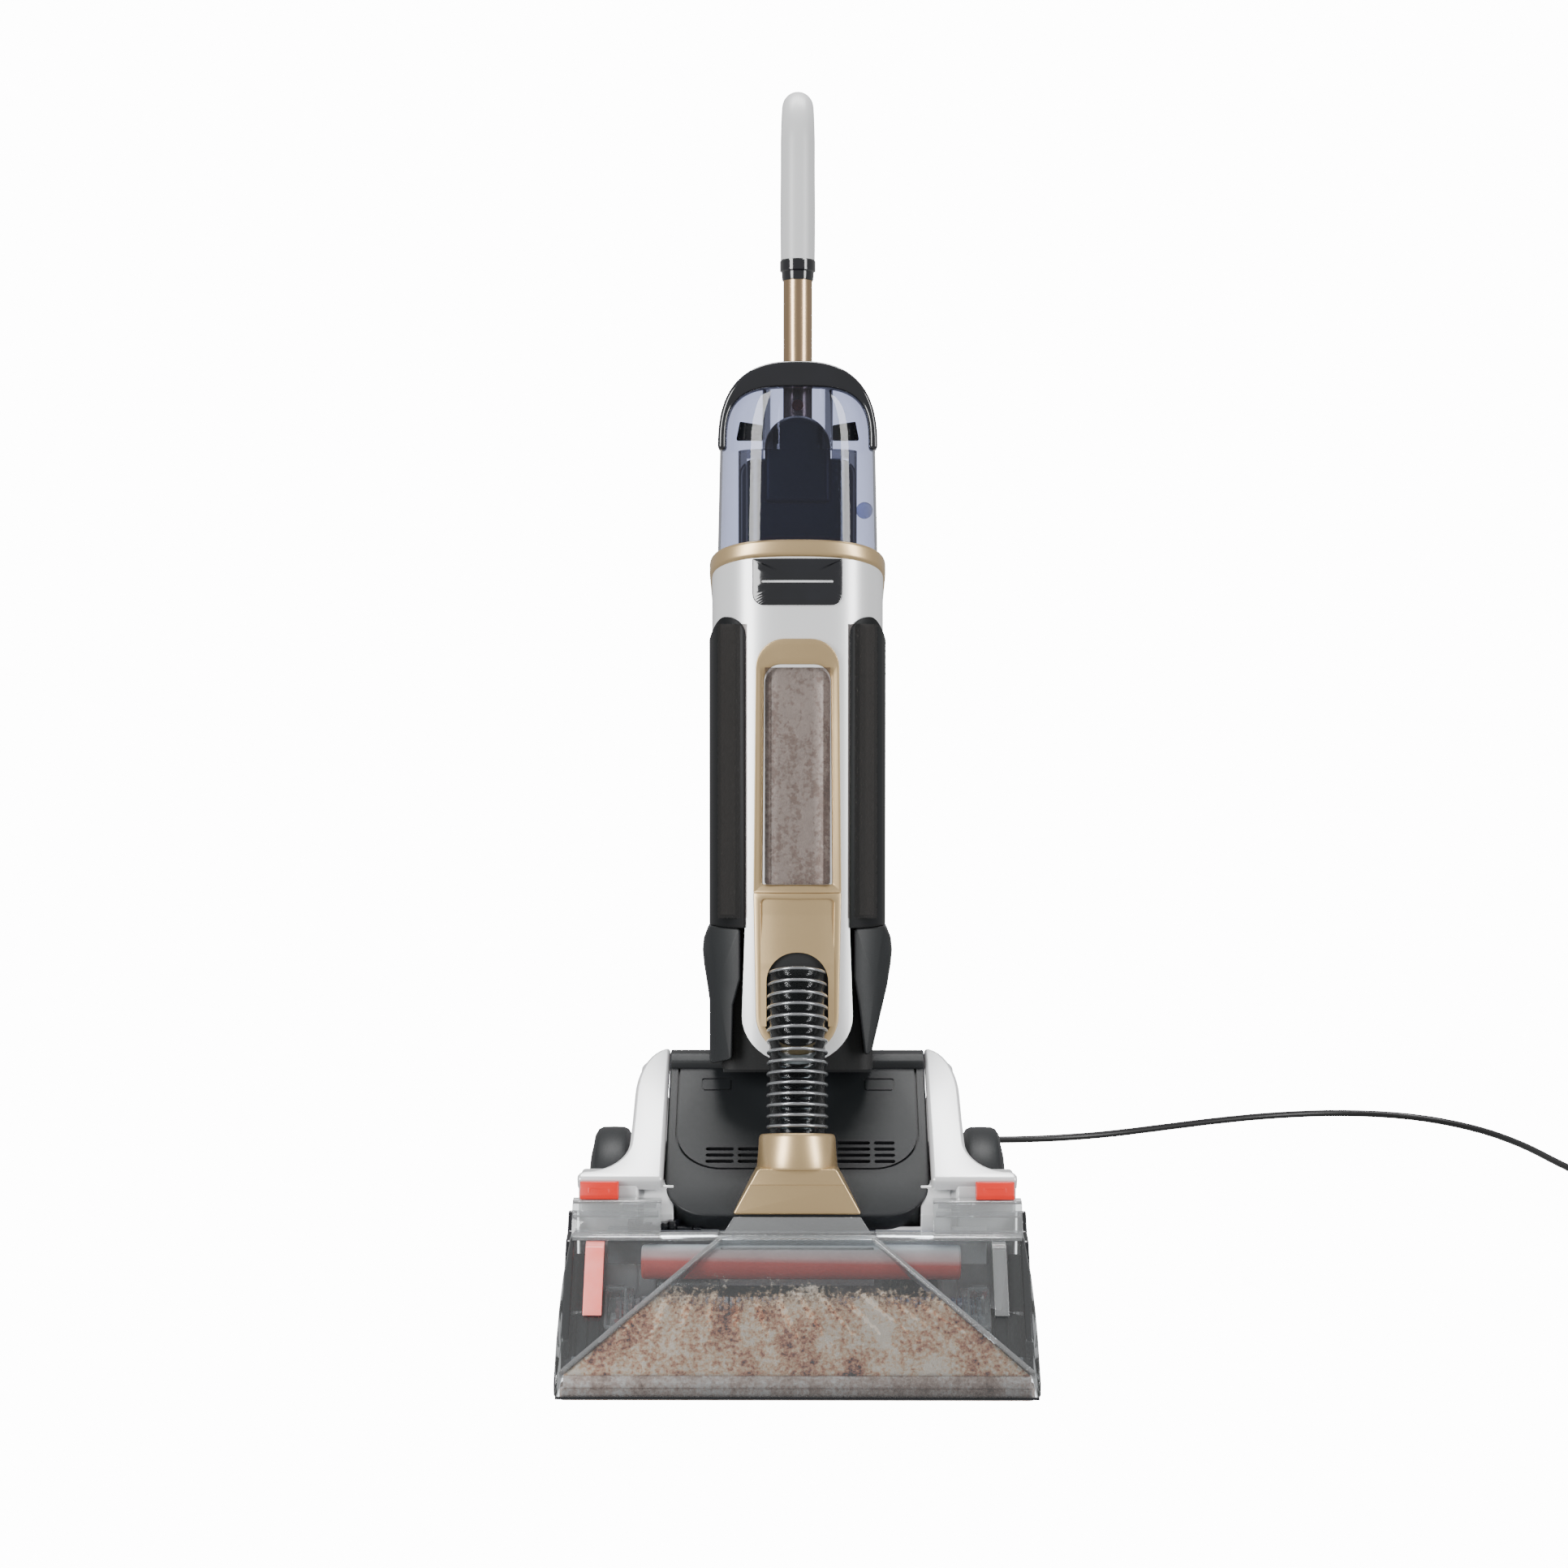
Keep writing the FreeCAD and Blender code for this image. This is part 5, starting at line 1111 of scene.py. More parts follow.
class MakeNozzle(bpy.types.Operator):
    """Clear nozzle: hood with ledges, tapering channel, throat, foam and lip"""
    bl_idname = "cleaner.make_nozzle"
    bl_label = "Clear nozzle"

    def execute(self, context):
        outline = rounded([(0, 3, 0), (0, 14, 3), (4, 20, 4), (80, 107, 10), (96, 107, 0), (96, 3, 0)], 6)
        hollow = rounded([(2.6, -4, 0), (2.6, 14, 3), (6, 19.5, 4), (81.5, 104.4, 8), (110, 104.4, 0),
                          (110, -4, 0)], 6)
        piece("nozzle_hood", extrude(outline, -185, 185, "x"), nozzle_side, clear_hood(), "nozzle",
              ["nozzle_cover"],
              edge=2.5, segments=4, bend=2, cuts_after=[extrude(hollow, -182.4, 182.4, "x")])
        ledge = extrude([(80, 105), (94, 128), (97, 130), (106, 130), (106, 127.4), (97, 127.4), (84, 105)],
                        107, 177, "x")
        step = extrude(rounded([(90, 118, 0.8), (96, 118, 0.8), (98.5, 122, 0.8), (92.5, 122, 0.8)], 3),
                       109, 176, "x")
        bars = [extrude([(77, 103.2), (84, 106.9), (84, 108.4), (77, 105.9)], 62, 176, "x"),
                extrude([(96, 124), (99, 124), (99, 129.6), (96, 128.6)], 111, 138, "x")]
        piece("nozzle_ledges", both_sides(merged(ledge, step, *bars)), foot, clear_rib(), "nozzle",
              edge=0.5, segments=2)
        rib = extrude([(diagonal(2, 5), 2), (diagonal(2), 2), (diagonal(113), 113), (diagonal(113, 5), 113)],
                      -12, 1.8)
        piece("channel_edges", both_sides(rib), WINDOW_PLACE, clear_rib(), "nozzle", ["suction_channel"],
              edge=1.2, segments=3)
        cross = merged(
            extrude([(-62, 112), (62, 112), (62, 115), (-62, 115)], -12, 1.4),
            extrude([(-60, 106), (60, 106), (60, 107.2), (-60, 107.2)], -10, -4))
        piece("channel_top_bars", cross, WINDOW_PLACE, clear_rib(), "nozzle", edge=0.5,
              segments=2)
        throat = extrude(rounded([(-60, 0, 2), (60, 0, 2), (50, 15.5, 1), (-50, 15.5, 1)], 4), -2.6, 0)
        piece("nozzle_throat", throat, on_slope((85, 104), (90, 121)), clear_rib(), "nozzle",
              edge=0.8)
        rows, columns, foot_up, height, depth = 34, 90, 1, 104, -4.2
        rnd = random.Random(4)
        loops = []
        for row in range(rows + 1):
            up = foot_up + height * row / rows
            half = diagonal(up, 5.5)
            loops.append([(-half + 2 * half * column / columns, up,
                           depth + 0.5 * math.sin(column * 0.9 + row * 0.5) + rnd.uniform(-0.15, 0.15))
                          for column in range(columns + 1)])
        foam = raw_object("channel_foam", skin(loops, closed=False, caps=False))
        for vertex in foam.data.vertices:
            vertex.co = WINDOW_PLACE(*vertex.co)
        thick = foam.modifiers.new("thick", "SOLIDIFY")
        thick.thickness = 0.0016
        settle(foam)
        finish_mesh(foam, carpet_froth(), "nozzle", smooth=180)
        low_foam = extrude(rounded([(4.2, 9.2, 0), (4.2, 14, 2), (9, 19, 3), (20, 17, 2), (20, 9.2, 0)], 4),
                           -178, 178, "x")
        piece("lip_foam", low_foam, foot, lip_froth(), "nozzle", edge=0.6, bend=1)
        lip = frame_ring(rounded([(-181, 3.2, 4), (181, 3.2, 4), (181, 22, 3), (-181, 22, 3)], 4),
                         rounded(slab_corners(-169, 169, 9, 16, 2), 4), (0, 0), (9, 9))
        piece("nozzle_lip", lip, foot, lip_froth(), "nozzle", ["suction_lip"], edge=0.8)
        # A glossy black strip that draws the dark line along the nozzle's bottom edge.
        base = extrude(rounded(slab_corners(0.4, 3, 1.5, 3.4, 1), 3), -184, 184, "x")
        piece("lip_edge_dark_strip", base, foot, glossy_black(), "nozzle", edge=0.5)
        return {"FINISHED"}


class MakeNozzleEnds(bpy.types.Operator):
    """Black end frames with ribs, belt guard and the clear bearing housings inside the nozzle"""
    bl_idname = "cleaner.make_nozzle_ends"
    bl_label = "Nozzle ends"

    def execute(self, context):
        rail = extrude(rounded([(24, 12, 3), (24, 40, 6), (78, 103, 8), (94, 106, 4), (110, 124, 3),
                                (110, 10, 3)], 5),
                       174.4, 181.2, "x")
        piece("end_rails", both_sides(rail), foot, glossy_black(), "foot", ["end_plates"],
              edge=1.5)
        bracket = merged(extrude([(150, 8), (181, 8), (181, 52), (150, 60)], -14, -11.5),
                         extrude([(158, 60), (181, 60), (181, 108), (166, 108)], -20, -17.5))
        piece("end_brackets", both_sides(bracket), WINDOW_PLACE, black_abs(), "foot",
              edge=0.8)
        up_slope = turn_to(WINDOW_PLACE(0, 1, 0) - WINDOW_PLACE(0, 0, 0), (0, 1, 0))
        spots = [(WINDOW_PLACE(sign * x, 36, -10.6), up_slope)
                 for sign in (-1, 1) for x in (154, 163, 172, 179)]
        ribs = repeat("bracket_ribs", spots, bar_shape, {"Width": 0.0014, "Length": 0.0026, "Height": 0.034},
                      black_abs())
        finish_mesh(ribs, black_abs(), "foot")
        windows = [extrude(rounded(slab_corners(x, x + 3, 12, 19, 0.8), 3), -10.8, -10.2)
                   for x in (156, 163, 170)]
        piece("bracket_lights", both_sides(merged(*windows)), WINDOW_PLACE, grey_plastic(), "foot")
        guard = [(33, 57), (37, 64), (69, 100.5), (77, 103), (96, 103), (96, 99), (78, 99), (72, 97),
                 (41, 62), (37, 56)]
        piece("belt_cover_red", extrude(guard, -165, -150.5, "x"), foot, guard_plastic(), "foot",
              ["belt_guard"], edge=0.6)
        piece("brush_end_cover", extrude(guard, 152, 163, "x"), foot, clear_rib(), "foot", ["brush_guard"],
              edge=0.6)
        housings = []
        for sign in (-1, 1):
            for near, far, reach in ((136, 149, 33), (128, 134, 31)):
                housings.append(turned([(0, 25), (0, reach), (far - near, reach), (far - near, 25)],
                                       (near if sign > 0 else -far, 76, 34), ACROSS, 40, caps=False))
        piece("bearing_housings", merged(*housings), foot, clear_rib(), "foot")
        frames = []
        for left, right in ((-149, -132), (132, 149)):
            frames.append(frame_ring(rounded(slab_corners(left, right, 40, 74, 2), 3),
                                     rounded(slab_corners(left + 2, right - 2, 42, 72, 1), 3),
                                     (-7, -7), (-4.4, -4.4)))
        piece("housing_frames", merged(*frames), WINDOW_PLACE, clear_rib(), "foot",
              edge=0.4)
        clutter = []
        rnd = random.Random(11)
        for number in range(9):
            x = -134 + 6.5 * number
            outline = rounded([(x, 0, 1), (x + rnd.uniform(5, 9), 0, 1), (x + rnd.uniform(5, 9), 8, 1),
                               (x, 8, 1)], 3)
            clutter.append(moved(extrude(outline, 0, rnd.uniform(6, 12)), (0, 99, 101)))
        piece("hood_fittings", merged(*clutter), foot, glossy_black(), "foot", edge=0.8)
        # Painted light: the right and middle inner panels take the pearl finish, lighter than their grey twin
        # on the left, to stand in for light on the nozzle's shaded inside.
        panel = extrude([(99, 78), (107, 106), (109, 106), (101, 78)], 62, 150, "x")
        piece("inner_panel_right", panel, foot, pearl_paint(), "foot", edge=0.5)
        piece("inner_panel_left", mirrored(panel), foot, grey_plastic(), "foot",
              edge=0.5)
        middle = extrude([(100, 60), (106, 102), (110, 102), (104, 60)], -61, 61, "x")
        piece("inner_panel_middle", middle, foot, pearl_paint(), "foot", edge=0.5)
        roller = turned([(0, 0), (0, 12), (1.5, 13.5), (248.5, 13.5), (250, 12), (250, 0)],
                        (-122, *SPRAY_CENTRE), ACROSS, 40)
        piece("spray_duct", roller, foot, spray_tint(), "foot")
        return {"FINISHED"}


class MakeBrush(bpy.types.Operator):
    """Brush roll covered in rows of nylon tufts"""
    bl_idname = "cleaner.make_brush"
    bl_label = "Brush roll"

    def execute(self, context):
        rows, spots = sizes().tuft_rows, []
        first, pitch, twist, root_radius = -140, 4.95, 0.012, 15
        for row in range(rows):
            for number in range(58):
                x = first + pitch * number
                out = spoke(2 * math.pi * row / rows + twist * x)
                spots.append((foot(*(Vector((x, *BRUSH_CENTRE)) + out * root_radius)), turn_to(out, ACROSS)))
        tufts = repeat("brush_tufts", spots, tuft_shape,
                       {"Length": sizes().tuft_length, "Thickness": sizes().tuft_thickness}, bristle_nylon(),
                       seed=7, spread=0.04)
        finish_mesh(tufts, bristle_nylon(), "brush", ["brush_bristles"], 60)
        return {"FINISHED"}


# ---------------------------------------------------------------- leaning body

def front_arc(steps, half=BODY_HALF, front=BODY_FRONT, power=FRONT_POWER):
    """Plan of a rounded front, from the left side to the right."""
    line = []
    for number in range(steps + 1):
        turn = math.radians(90 * (-1 + 2 * number / steps))
        x = half * math.copysign(abs(math.sin(turn)) ** (2 / power), turn)
        line.append((x, BODY_SIDE - (BODY_SIDE - front) * math.cos(turn) ** (2 / power)))
    return line


def front_line(steps):
    """Plan of the casing's front with its straight sides, which end at SIDES_BACK."""
    sides = [SIDES_BACK + (BODY_SIDE - SIDES_BACK) * i / 4 for i in range(4)]
    left, right = [(-BODY_HALF, back) for back in sides], [(BODY_HALF, back) for back in reversed(sides)]
    return left + front_arc(steps) + right


def band(line, low, high, outer, inner):
    """A strip that follows a plan line, between two heights that may depend on (across, back)."""
    loops = []
    for number, point in enumerate(line):
        before, after = Vector(line[max(number - 1, 0)]), Vector(line[min(number + 1, len(line) - 1)])
        along = (after - before).normalized()
        out = Vector((along.y, -along.x))
        levels = [end(*point) if callable(end) else end for end in (low, high)]
        far, near = Vector(point) + out * outer, Vector(point) + out * inner
        loops.append([(*far, levels[0]), (*far, levels[1]), (*near, levels[1]), (*near, levels[0])])
    return skin(loops)


def plan(half, front, back, corner, steps, power=FRONT_POWER):
    """Closed plan of the body: rounded front, rounded back corners."""
    turned_back = [swing(corner, (half - corner, back - corner), math.radians(a)) for a in range(0, 91, 15)]
    return front_arc(steps, half, front, power) + turned_back + [(-x, y) for x, y in turned_back[::-1]]


class MakeCasing(bpy.types.Operator):
    """Pearl front casing with its apron, black side pads and the black rear casing"""
    bl_idname = "cleaner.make_casing"
    bl_label = "Casing"

    def execute(self, context):
        pad_foot, wall = 214, 3
        apron = [(45 * math.sin(math.radians(a)), 142 - 38 * math.cos(math.radians(a)))
                 for a in range(0, 91, 9)]
        beside = extrude([(42.5, pad_foot), (90, pad_foot), (90, 60), (-0.05, 60)] + apron, -140, 60, "y")
        opening = extrude(rounded([(-26.5, 250, 2), (26.5, 250, 2), (26.5, 425, 13), (-26.5, 425, 13)]),
                          -140, -90, "y")
        shell = band(front_line(80), 80, lambda x, back: seam(back), 0, -wall)
        piece("front_casing", shell, upright, pearl_paint(), "upright", ["front_shell"],
              cuts=[beside, mirrored(beside), opening], smooth=35)

        def pad_top(x, back):
            """A round inner corner, falling away towards the side and along it."""
            past = abs(x) - 57.5
            corner, drop = math.sqrt(max(15.5 ** 2 - past ** 2, 0)), 18 * (past / 13) ** 2
            top = 450.5 + corner if past < 0 else 466 - drop
            return top - 16 * max(back - BODY_SIDE, 0) / 18

        inner_edge = 42
        line = [point for point in front_line(220) if point[0] >= inner_edge]
        line.insert(0, (inner_edge, casing_front(inner_edge)))
        pad = band(line, pad_foot, pad_top, 2.4, -0.6)
        piece("side_pads", both_sides(pad), upright, pad_rubber(), "upright", ["side_pads"],
              edge=0.9, segments=3, smooth=50)
        rear = [(BODY_HALF, SIDES_BACK), (BODY_HALF, -12)] + [
            swing(16, (BODY_HALF - 16, 4), math.radians(a)) for a in range(0, 91, 10)]
        rear = rear + [(-x, y) for x, y in rear[::-1]]
        piece("rear_casing", band(rear, pad_foot, lambda x, back: seam(back), 0, -wall), upright, black_abs(),
              "upright", ["rear_shell"], smooth=35)
        spots = [(upright(x, 20.4, w), turn_to(BACKWARD)) for x in (-54, 54) for w in (240, 330, 440)]
        screws = repeat("rear_screws", spots, screw_shape, {"Radius": 0.0034, "Height": 0.0016}, steel())
        finish_mesh(screws, steel(), "upright", ["casing_screws"])
        slab = extrude(plan(BODY_HALF + 2, BODY_FRONT - 2, 22, 16, 60), lambda x, back: seam(back),
                       lambda x, back: seam(back) + 14)
        piece("champagne_band", slab, upright, champagne_paint(), "upright", ["gold_band"],
              edge=3.2, segments=4, smooth=50)
        return {"FINISHED"}


class MakeFrontPanel(bpy.types.Operator):
    """Champagne bezel and scoop, dirty water behind the window, and the blank badge"""
    bl_idname = "cleaner.make_front_panel"
    bl_label = "Window bezel, scoop and badge"

    def execute(self, context):
        outer = rounded([(-35.6, 243, 1), (35.6, 243, 1), (33.5, 448, 23), (-33.5, 448, 23)], 9)
        inner = rounded([(-28, 250, 1), (28, 250, 1), (26.6, 427, 13), (-26.6, 427, 13)], 9)
        piece("window_bezel", frame_ring(outer, inner, (-2, -4), (4, 0.4), "y"), on_casing, champagne_paint(),
              "upright", ["window_frame"], edge=1.1, bend=2, smooth=50)
        water = extrude([(-28.6, 246), (28.6, 246), (28.6, 430), (-28.6, 430)], -6.2, -5.0, "y")
        piece("dirty_water_sheet", water, on_casing, tank_froth(), "upright", bend=4)
        rim_out = rounded([(-33, 112, 32), (33, 112, 32), (35.6, 243, 1), (-35.6, 243, 1)], 12)
        rim_in = rounded([(-28, 119, 27), (28, 119, 27), (29.6, 238, 4), (-29.6, 238, 4)], 12)
        piece("scoop_rim", frame_ring(rim_out, rim_in, (-1, -1), (3.6, 3.2), "y"), on_casing,
              champagne_paint(), "upright", ["scoop_panel"], edge=0.9, bend=1, smooth=50)
        profile = [(-1, 240), (0.9, 238.5), (0.9, 225), (1.6, 216), (3.4, 197), (4.4, 186), (4.6, 170),
                   (4.6, 135), (-1, 135)]
        arch = extrude(rounded([(-25, 90, 0), (25, 90, 0), (25, 195, 24), (-25, 195, 24)], 10), -30, 20, "y")
        piece("scoop_ramp", extrude(profile, -29.8, 29.8, "x"), on_casing, champagne_paint(), "upright",
              bend=3, cuts_after=[arch], smooth=25)
        # Painted shade: a near-black cup behind the scoop's hose hole stands in for the shade inside the
        # casing.
        cup = extrude(rounded([(-27, 116, 24), (27, 116, 24), (27, 200, 24), (-27, 200, 24)], 8), 0.2, 0.8,
                      "y")
        piece("scoop_painted_shade", cup, on_casing, painted_shade_hollow(), "upright", bend=3)
        badge = extrude(rounded([(-36.4, 475, 9), (36.4, 475, 9), (36.4, 512.5, 1), (-36.4, 512.5, 1)], 6),
                        -1, 2, "y")
        piece("badge", badge, on_casing, glossy_black(), "upright", ["badge_plate"],
              edge=0.7, bend=2)
        line = extrude(rounded(slab_corners(-28.8, 28.8, 493.2, 494.9, 0.7), 3), 1.8, 2.3, "y")
        piece("badge_line", line, on_casing, pearl_paint(), "upright", bend=2)
        return {"FINISHED"}


class MakeLowerBody(bpy.types.Operator):
    """Black hips, neck and pivot barrel under the casing"""
    bl_idname = "cleaner.make_lower_body"
    bl_label = "Hips and neck"

    def execute(self, context):
        def hip_place(x, along, up):
            """A spot on the leaning body; along runs from 0 behind the casing's front to 100 at its back."""
            start = casing_front(min(abs(x), 78) * 0.88) + 5
            return upright(x, start + along * (16 - start) / 100, up)
        hip = extrude(rounded([(46, 213.5, 3), (71.5, 213.5, 2), (77, 204, 8), (78.2, 193, 8), (77, 182, 8),
                               (74, 165, 8), (69, 145, 8), (61, 112, 4), (55, 108, 4), (50, 150, 8),
                               (46, 172, 6)], 5),
                      0, 100, "y")
        piece("hip_right", hip, hip_place, black_abs(), "upright", ["lower_body"], edge=3,
              segments=4, bend=1, smooth=50)
        left = extrude(rounded([(-46, 213.5, 3), (-71.5, 213.5, 2), (-77, 204, 8), (-78.2, 193, 8),
                                (-77, 182, 8),
                                (-74, 165, 8), (-72, 152, 5), (-72, 100, 3), (-53, 106, 3), (-52, 150, 6),
                                (-46, 172, 6)], 5), 0, 100, "y")
        piece("hip_left", left, hip_place, black_abs(), "upright", edge=3, segments=4,
              bend=1, smooth=50)
        # Painted shade: a near-black block inside the hips stands in for the shade inside the lower body.
        core = extrude(rounded([(-62, -92, 12), (62, -92, 12), (62, 14, 14), (-62, 14, 14)], 6), 96, 214)
        piece("hip_painted_shade_core", core, upright, painted_shade_hollow(), "upright")
        neck = extrude(rounded([(-44, 0, 12), (20, 0, 12), (16, 110, 6), (-60, 110, 6)], 5), -62, 62, "x")
        barrel = turned([(0, 0), (0, 34), (3, 37.5), (177, 37.5), (180, 34), (180, 0)], (-90, 0, 0), ACROSS, 56)
        piece("neck", merged(neck, barrel), upright, black_abs(), "upright", edge=1.2)
        return {"FINISHED"}


ARCH_FOOT, ARCH_RISE = 600, 71.5


def dome(half, rise, power):
    """The upper half of a squared-off oval that stands on the arch's feet, from right to left."""
    points = []
    for number in range(41):
        c, s = math.cos(math.pi * number / 40), math.sin(math.pi * number / 40)
        points.append((half * math.copysign(abs(c) ** (2 / power), c),
                       ARCH_FOOT + rise * max(s, 0) ** (2 / power)))
    return points


class MakeCleanTank(bpy.types.Operator):
    """Smoked clean-water tank in front of the column, with its glossy carrying arch"""
    bl_idname = "cleaner.make_clean_tank"
    bl_label = "Clean tank"

    def execute(self, context):
        tank_top = 669
        outline = plan(1, -115, 17, 0.25, 52, 2.5)
        levels = [i / 6 * 0.62 for i in range(6)] + [0.62 + 0.38 * math.sin(math.radians(90 * i / 14))
                                                     for i in range(15)]
        loops = []
        for level in levels:
            loop = []
            for share, back in outline:
                base = seam(back) + 14.5
                up = base + (tank_top - base) * level
                shoulder = min(max((up - ARCH_FOOT) / ARCH_RISE, 0), 0.9999)
                round_off = (1 - shoulder ** FRONT_POWER) ** (1 / FRONT_POWER)
                half = (66 - 2 * min(max((up - 514) / 90, 0), 1)) * round_off
                shift = 14 * (1 - round_off)
                loop.append((share * half, back + (shift if back < SIDES_BACK else -shift), up))
            loops.append(loop)
        slot_cut = extrude(rounded([(-49, -76, 22), (49, -76, 22), (49, 60, 0), (-49, 60, 0)], 8), 430, 604)
        high_cut = extrude(rounded([(-29, -76, 20), (29, -76, 20), (29, 60, 0), (-29, 60, 0)], 8), 590, 700)
        piece("clean_tank_wall", skin(loops), upright, smoked_tank(), "tank", ["clean_tank"],
              cuts=[slot_cut, high_cut], smooth=45)
        outer = dome(64.4, ARCH_RISE, FRONT_POWER)
        inner = dome(57.5, 51, 3.4)[::-1]
        arch = extrude(outer + inner, -115, -93, "y")
        piece("carrying_arch", arch, upright, glossy_black(), "tank", ["tank_arch"],
              edge=3.2, segments=4, smooth=50)
        catch = extrude(rounded([(28.5, 610, 1), (50, 610, 1), (47, 625, 1), (28.5, 622, 1)], 3), -90, -82,
                        "y")
        piece("tank_catches", both_sides(catch), upright, black_abs(), "tank", edge=0.8)
        return {"FINISHED"}


class MakeHandle(bpy.types.Operator):
    """Slate column, collar and the looped grip"""
    bl_idname = "cleaner.make_handle"
    bl_label = "Column and grip"

    def execute(self, context):
        low = extrude(rounded([(-48, 506, 0), (48, 506, 0), (48, 597, 14), (-48, 597, 14)], 8), -70, 12, "y")
        high = extrude(rounded([(-27, 560, 0), (27, 560, 0), (27, 632, 26.5), (-27, 632, 26.5)], 12), -72.5,
                       -8, "y")
        piece("column_shoulders", low, upright, slate_abs(), "upright", ["handle_column"],
              edge=3, segments=4)
        piece("column_head", high, upright, slate_abs(), "upright", edge=4,
              segments=4)
        collar = turned([(0, 12), (0, 12.6), (1, 13), (7, 13.4), (8, 14.8), (16, 14.8), (17, 14), (17, 12)],
                        (0, -40, 746), (0, 0, 1))
        piece("grip_collar", collar, upright, glossy_black(), "upright", ["tube_collar"])
        corners = [(-40, 763), (-40, 785), (-40, 808), (-40, 834)]
        radii = [14.2, 14.4, 14.4, 14.2]
        for step in range(13):
            angle = math.radians(180 - 15 * step)
            corners.append((-7 + 33 * math.cos(angle), 861 + 34.2 * math.sin(angle)))
            radii.append(14.2 - 2.7 * step / 12)
        corners += [(26, 843), (25, 826), (21, 810), (12, 797), (0, 787), (-12, 780), (-36, 774)]
        radii += [11.3, 11, 11, 11, 11, 11, 10.6]
        loop = tube([(0, *corner) for corner in corners], radii)
        trigger_slot = extrude([(-6.5, 812), (6.5, 812), (6.5, 862), (-6.5, 862)], 0, 22, "y")
        piece("grip_loop", loop, upright, grip_plastic(), "upright", ["grip"],
              cuts_after=[trigger_slot], smooth=60)
        return {"FINISHED"}


def painted_nodes():
    """The CAD nodes that stay in sight, each with its finish."""
    return {
        "base_plate": black_abs(), "brush_core": pearl_paint(), "brush_motor": steel(),
        "brush_pulley": grey_plastic(),
        "cord_hook_lower": black_abs(), "cord_hook_upper": black_abs(), "drive_belt": belt_rubber(),
        "fan_housing": grey_plastic(), "fan_impeller": grey_plastic(), "fill_cap": smoked_tank(),
        "float_cage": grey_plastic(), "handle_tube": champagne_tube(), "motor_pulley": steel(),
        "pivot_pins": steel(),
        "power_switch": red_plastic(), "recovery_tank": clear_pane(), "shutoff_float": red_plastic(),
        "solution_pump": grey_plastic(), "spray_bar": grey_plastic(), "suction_motor": steel(),
        "tank_release_button": slate_abs(), "tank_window": clear_pane(), "trigger": glossy_black(),
        "tube_button": copper_button(), "wheel_axles": steel(),
    }


class PaintFrame(bpy.types.Operator):
    """Give the frame's own parts that stay in sight their finishes"""
    bl_idname = "cleaner.paint_frame"
    bl_label = "Frame finishes"

    def execute(self, context):
        for name, finish in painted_nodes().items():
            paint_node(name, finish)
        return {"FINISHED"}


# ---------------------------------------------------------------- stage

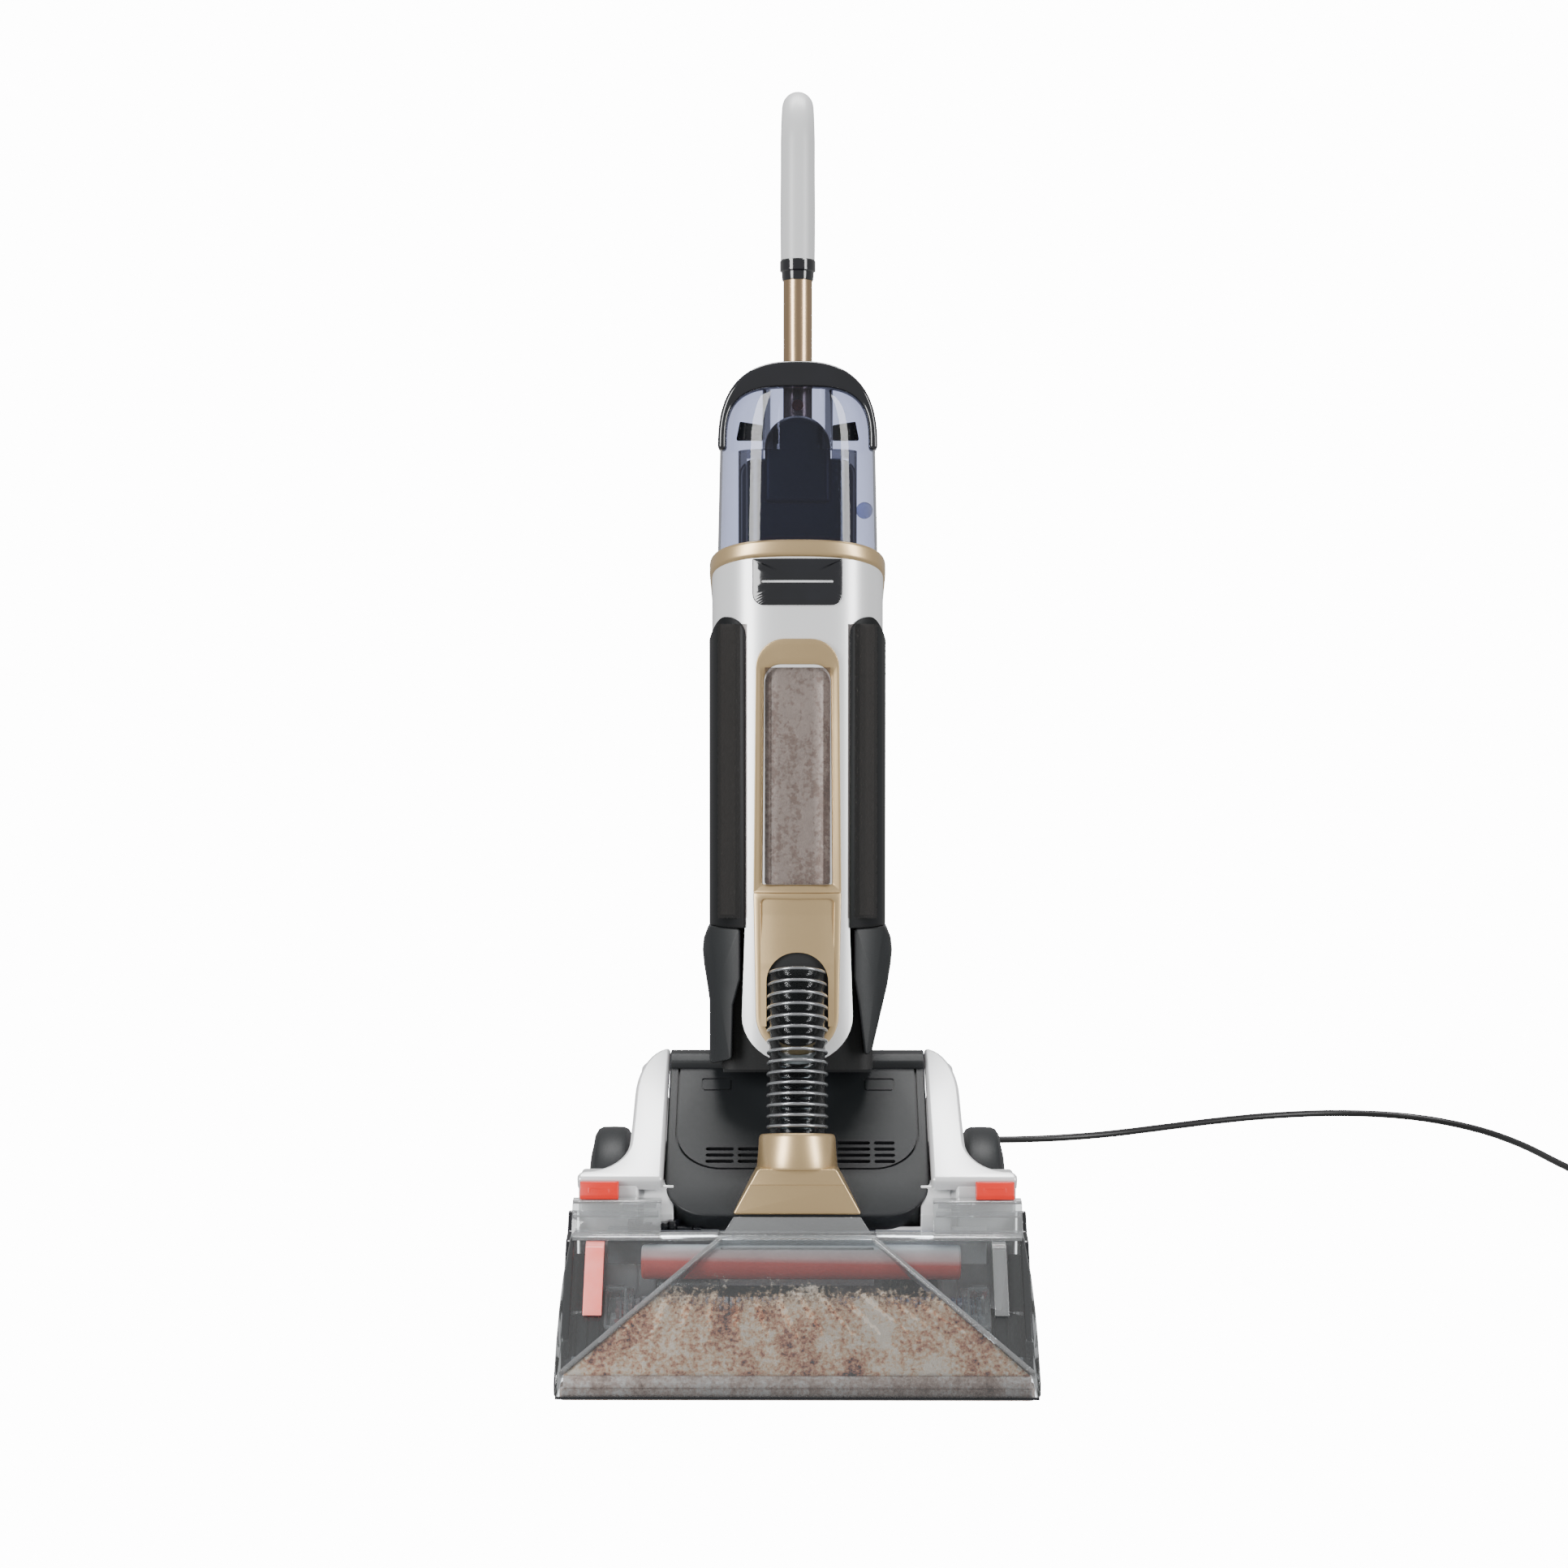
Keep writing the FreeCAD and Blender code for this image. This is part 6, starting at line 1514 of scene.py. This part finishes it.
class MakeStage(bpy.types.Operator):
    """Soft lights, a plain white room and the camera"""
    bl_idname = "cleaner.make_stage"
    bl_label = "Stage"

    def execute(self, context):
        scene = context.scene
        aim = Vector((0, 0, 0.4))
        for name, spot, size, watts in (
                ("softbox_left", (-1.7, -1.7, 1.1), (0.8, 2.0), 92),
                ("softbox_right", (1.9, -1.3, 1.0), (0.6, 2.0), 62),
                ("softbox_top", (0, 0.7, 2.6), (1.8, 0.8), 80)):
            light = bpy.data.lights.new(name, "AREA")
            light.shape = "RECTANGLE"
            light.size, light.size_y = size
            light.energy = watts
            lamp = bpy.data.objects.new(name, light)
            lamp.location = spot
            lamp.rotation_euler = (aim - Vector(spot)).to_track_quat("-Z", "Y").to_euler()
            scene.collection.objects.link(lamp)
        world = bpy.data.worlds.new("white_room")
        world.use_nodes = True
        tree = world.node_tree
        tree.nodes.clear()
        ray = add_node(tree, "ShaderNodeLightPath").outputs
        clean = add_node(tree, "ShaderNodeMath", {"operation": "LESS_THAN"},
                         {0: ray["Transparent Depth"], 1: 0.5})
        seen = add_node(tree, "ShaderNodeMath", {"operation": "MULTIPLY"}, {
            0: clean.outputs[0], 1: ray["Is Camera Ray"]})
        # Plain white where nothing stands in front, a dimmer white behind clear plastic, and the room's light.
        open_sky, behind, room = [
            add_node(tree, "ShaderNodeBackground", inputs={"Color": linear("#FFFFFF"), "Strength": strength})
            for strength in (14.0, 2.6, 0.5)]
        inner = add_node(tree, "ShaderNodeMixShader", inputs={
            0: ray["Is Camera Ray"], 1: room.outputs[0], 2: behind.outputs[0]})
        glow = add_node(tree, "ShaderNodeMixShader", inputs={
            0: seen.outputs[0], 1: inner.outputs[0], 2: open_sky.outputs[0]})
        add_node(tree, "ShaderNodeOutputWorld", inputs={"Surface": glow.outputs[0]})
        scene.world = world
        distance, eye_height, focal_length, tilt_down, turn_left = 2.0, 0.7138, 62.69, 6.88, 0.284
        lens = bpy.data.cameras.new("camera")
        lens.lens, lens.sensor_width, lens.sensor_fit = focal_length, 36, "AUTO"
        lens.clip_start, lens.clip_end = 0.05, 60
        camera = bpy.data.objects.new("camera", lens)
        camera.location = (0, FRONT - distance, eye_height)
        camera.rotation_euler = (math.radians(90 - tilt_down), 0, math.radians(turn_left))
        scene.collection.objects.link(camera)
        scene.camera = camera
        return {"FINISHED"}


OPERATORS = (MakeStage, MakeCord, MakeHood, MakeFenders, MakeWheels, MakeLatches, MakeHosePlate, MakeHose,
             MakeNozzle, MakeNozzleEnds, MakeBrush, MakeCasing, MakeFrontPanel, MakeLowerBody, MakeCleanTank,
             MakeHandle, PaintFrame)


class CleanerPanel(bpy.types.Panel):
    """Lists every step of the machine"""
    bl_idname = "VIEW3D_PT_carpet_cleaner"
    bl_label = "Carpet cleaner"
    bl_space_type = "VIEW_3D"
    bl_region_type = "UI"
    bl_category = "Carpet cleaner"

    def draw(self, context):
        for group in (context.scene.cleaner_sizes, context.scene.cleaner_colours):
            box = self.layout.box()
            for name in group.__annotations__:
                box.prop(group, name)
        for operator in OPERATORS:
            self.layout.operator(operator.bl_idname)


CLASSES = (CleanerSizes, CleanerColours, *OPERATORS, CleanerPanel)


def register():
    for made in CLASSES:
        bpy.utils.register_class(made)
    bpy.types.Scene.cleaner_sizes = PointerProperty(type=CleanerSizes)
    bpy.types.Scene.cleaner_colours = PointerProperty(type=CleanerColours)


def unregister():
    del bpy.types.Scene.cleaner_colours
    del bpy.types.Scene.cleaner_sizes
    for made in reversed(CLASSES):
        bpy.utils.unregister_class(made)


def main():
    register()
    for operator in OPERATORS:
        group, name = operator.bl_idname.split(".")
        getattr(getattr(bpy.ops, group), name)()
    bpy.context.view_layer.update()


if __name__ == "__main__":
    main()
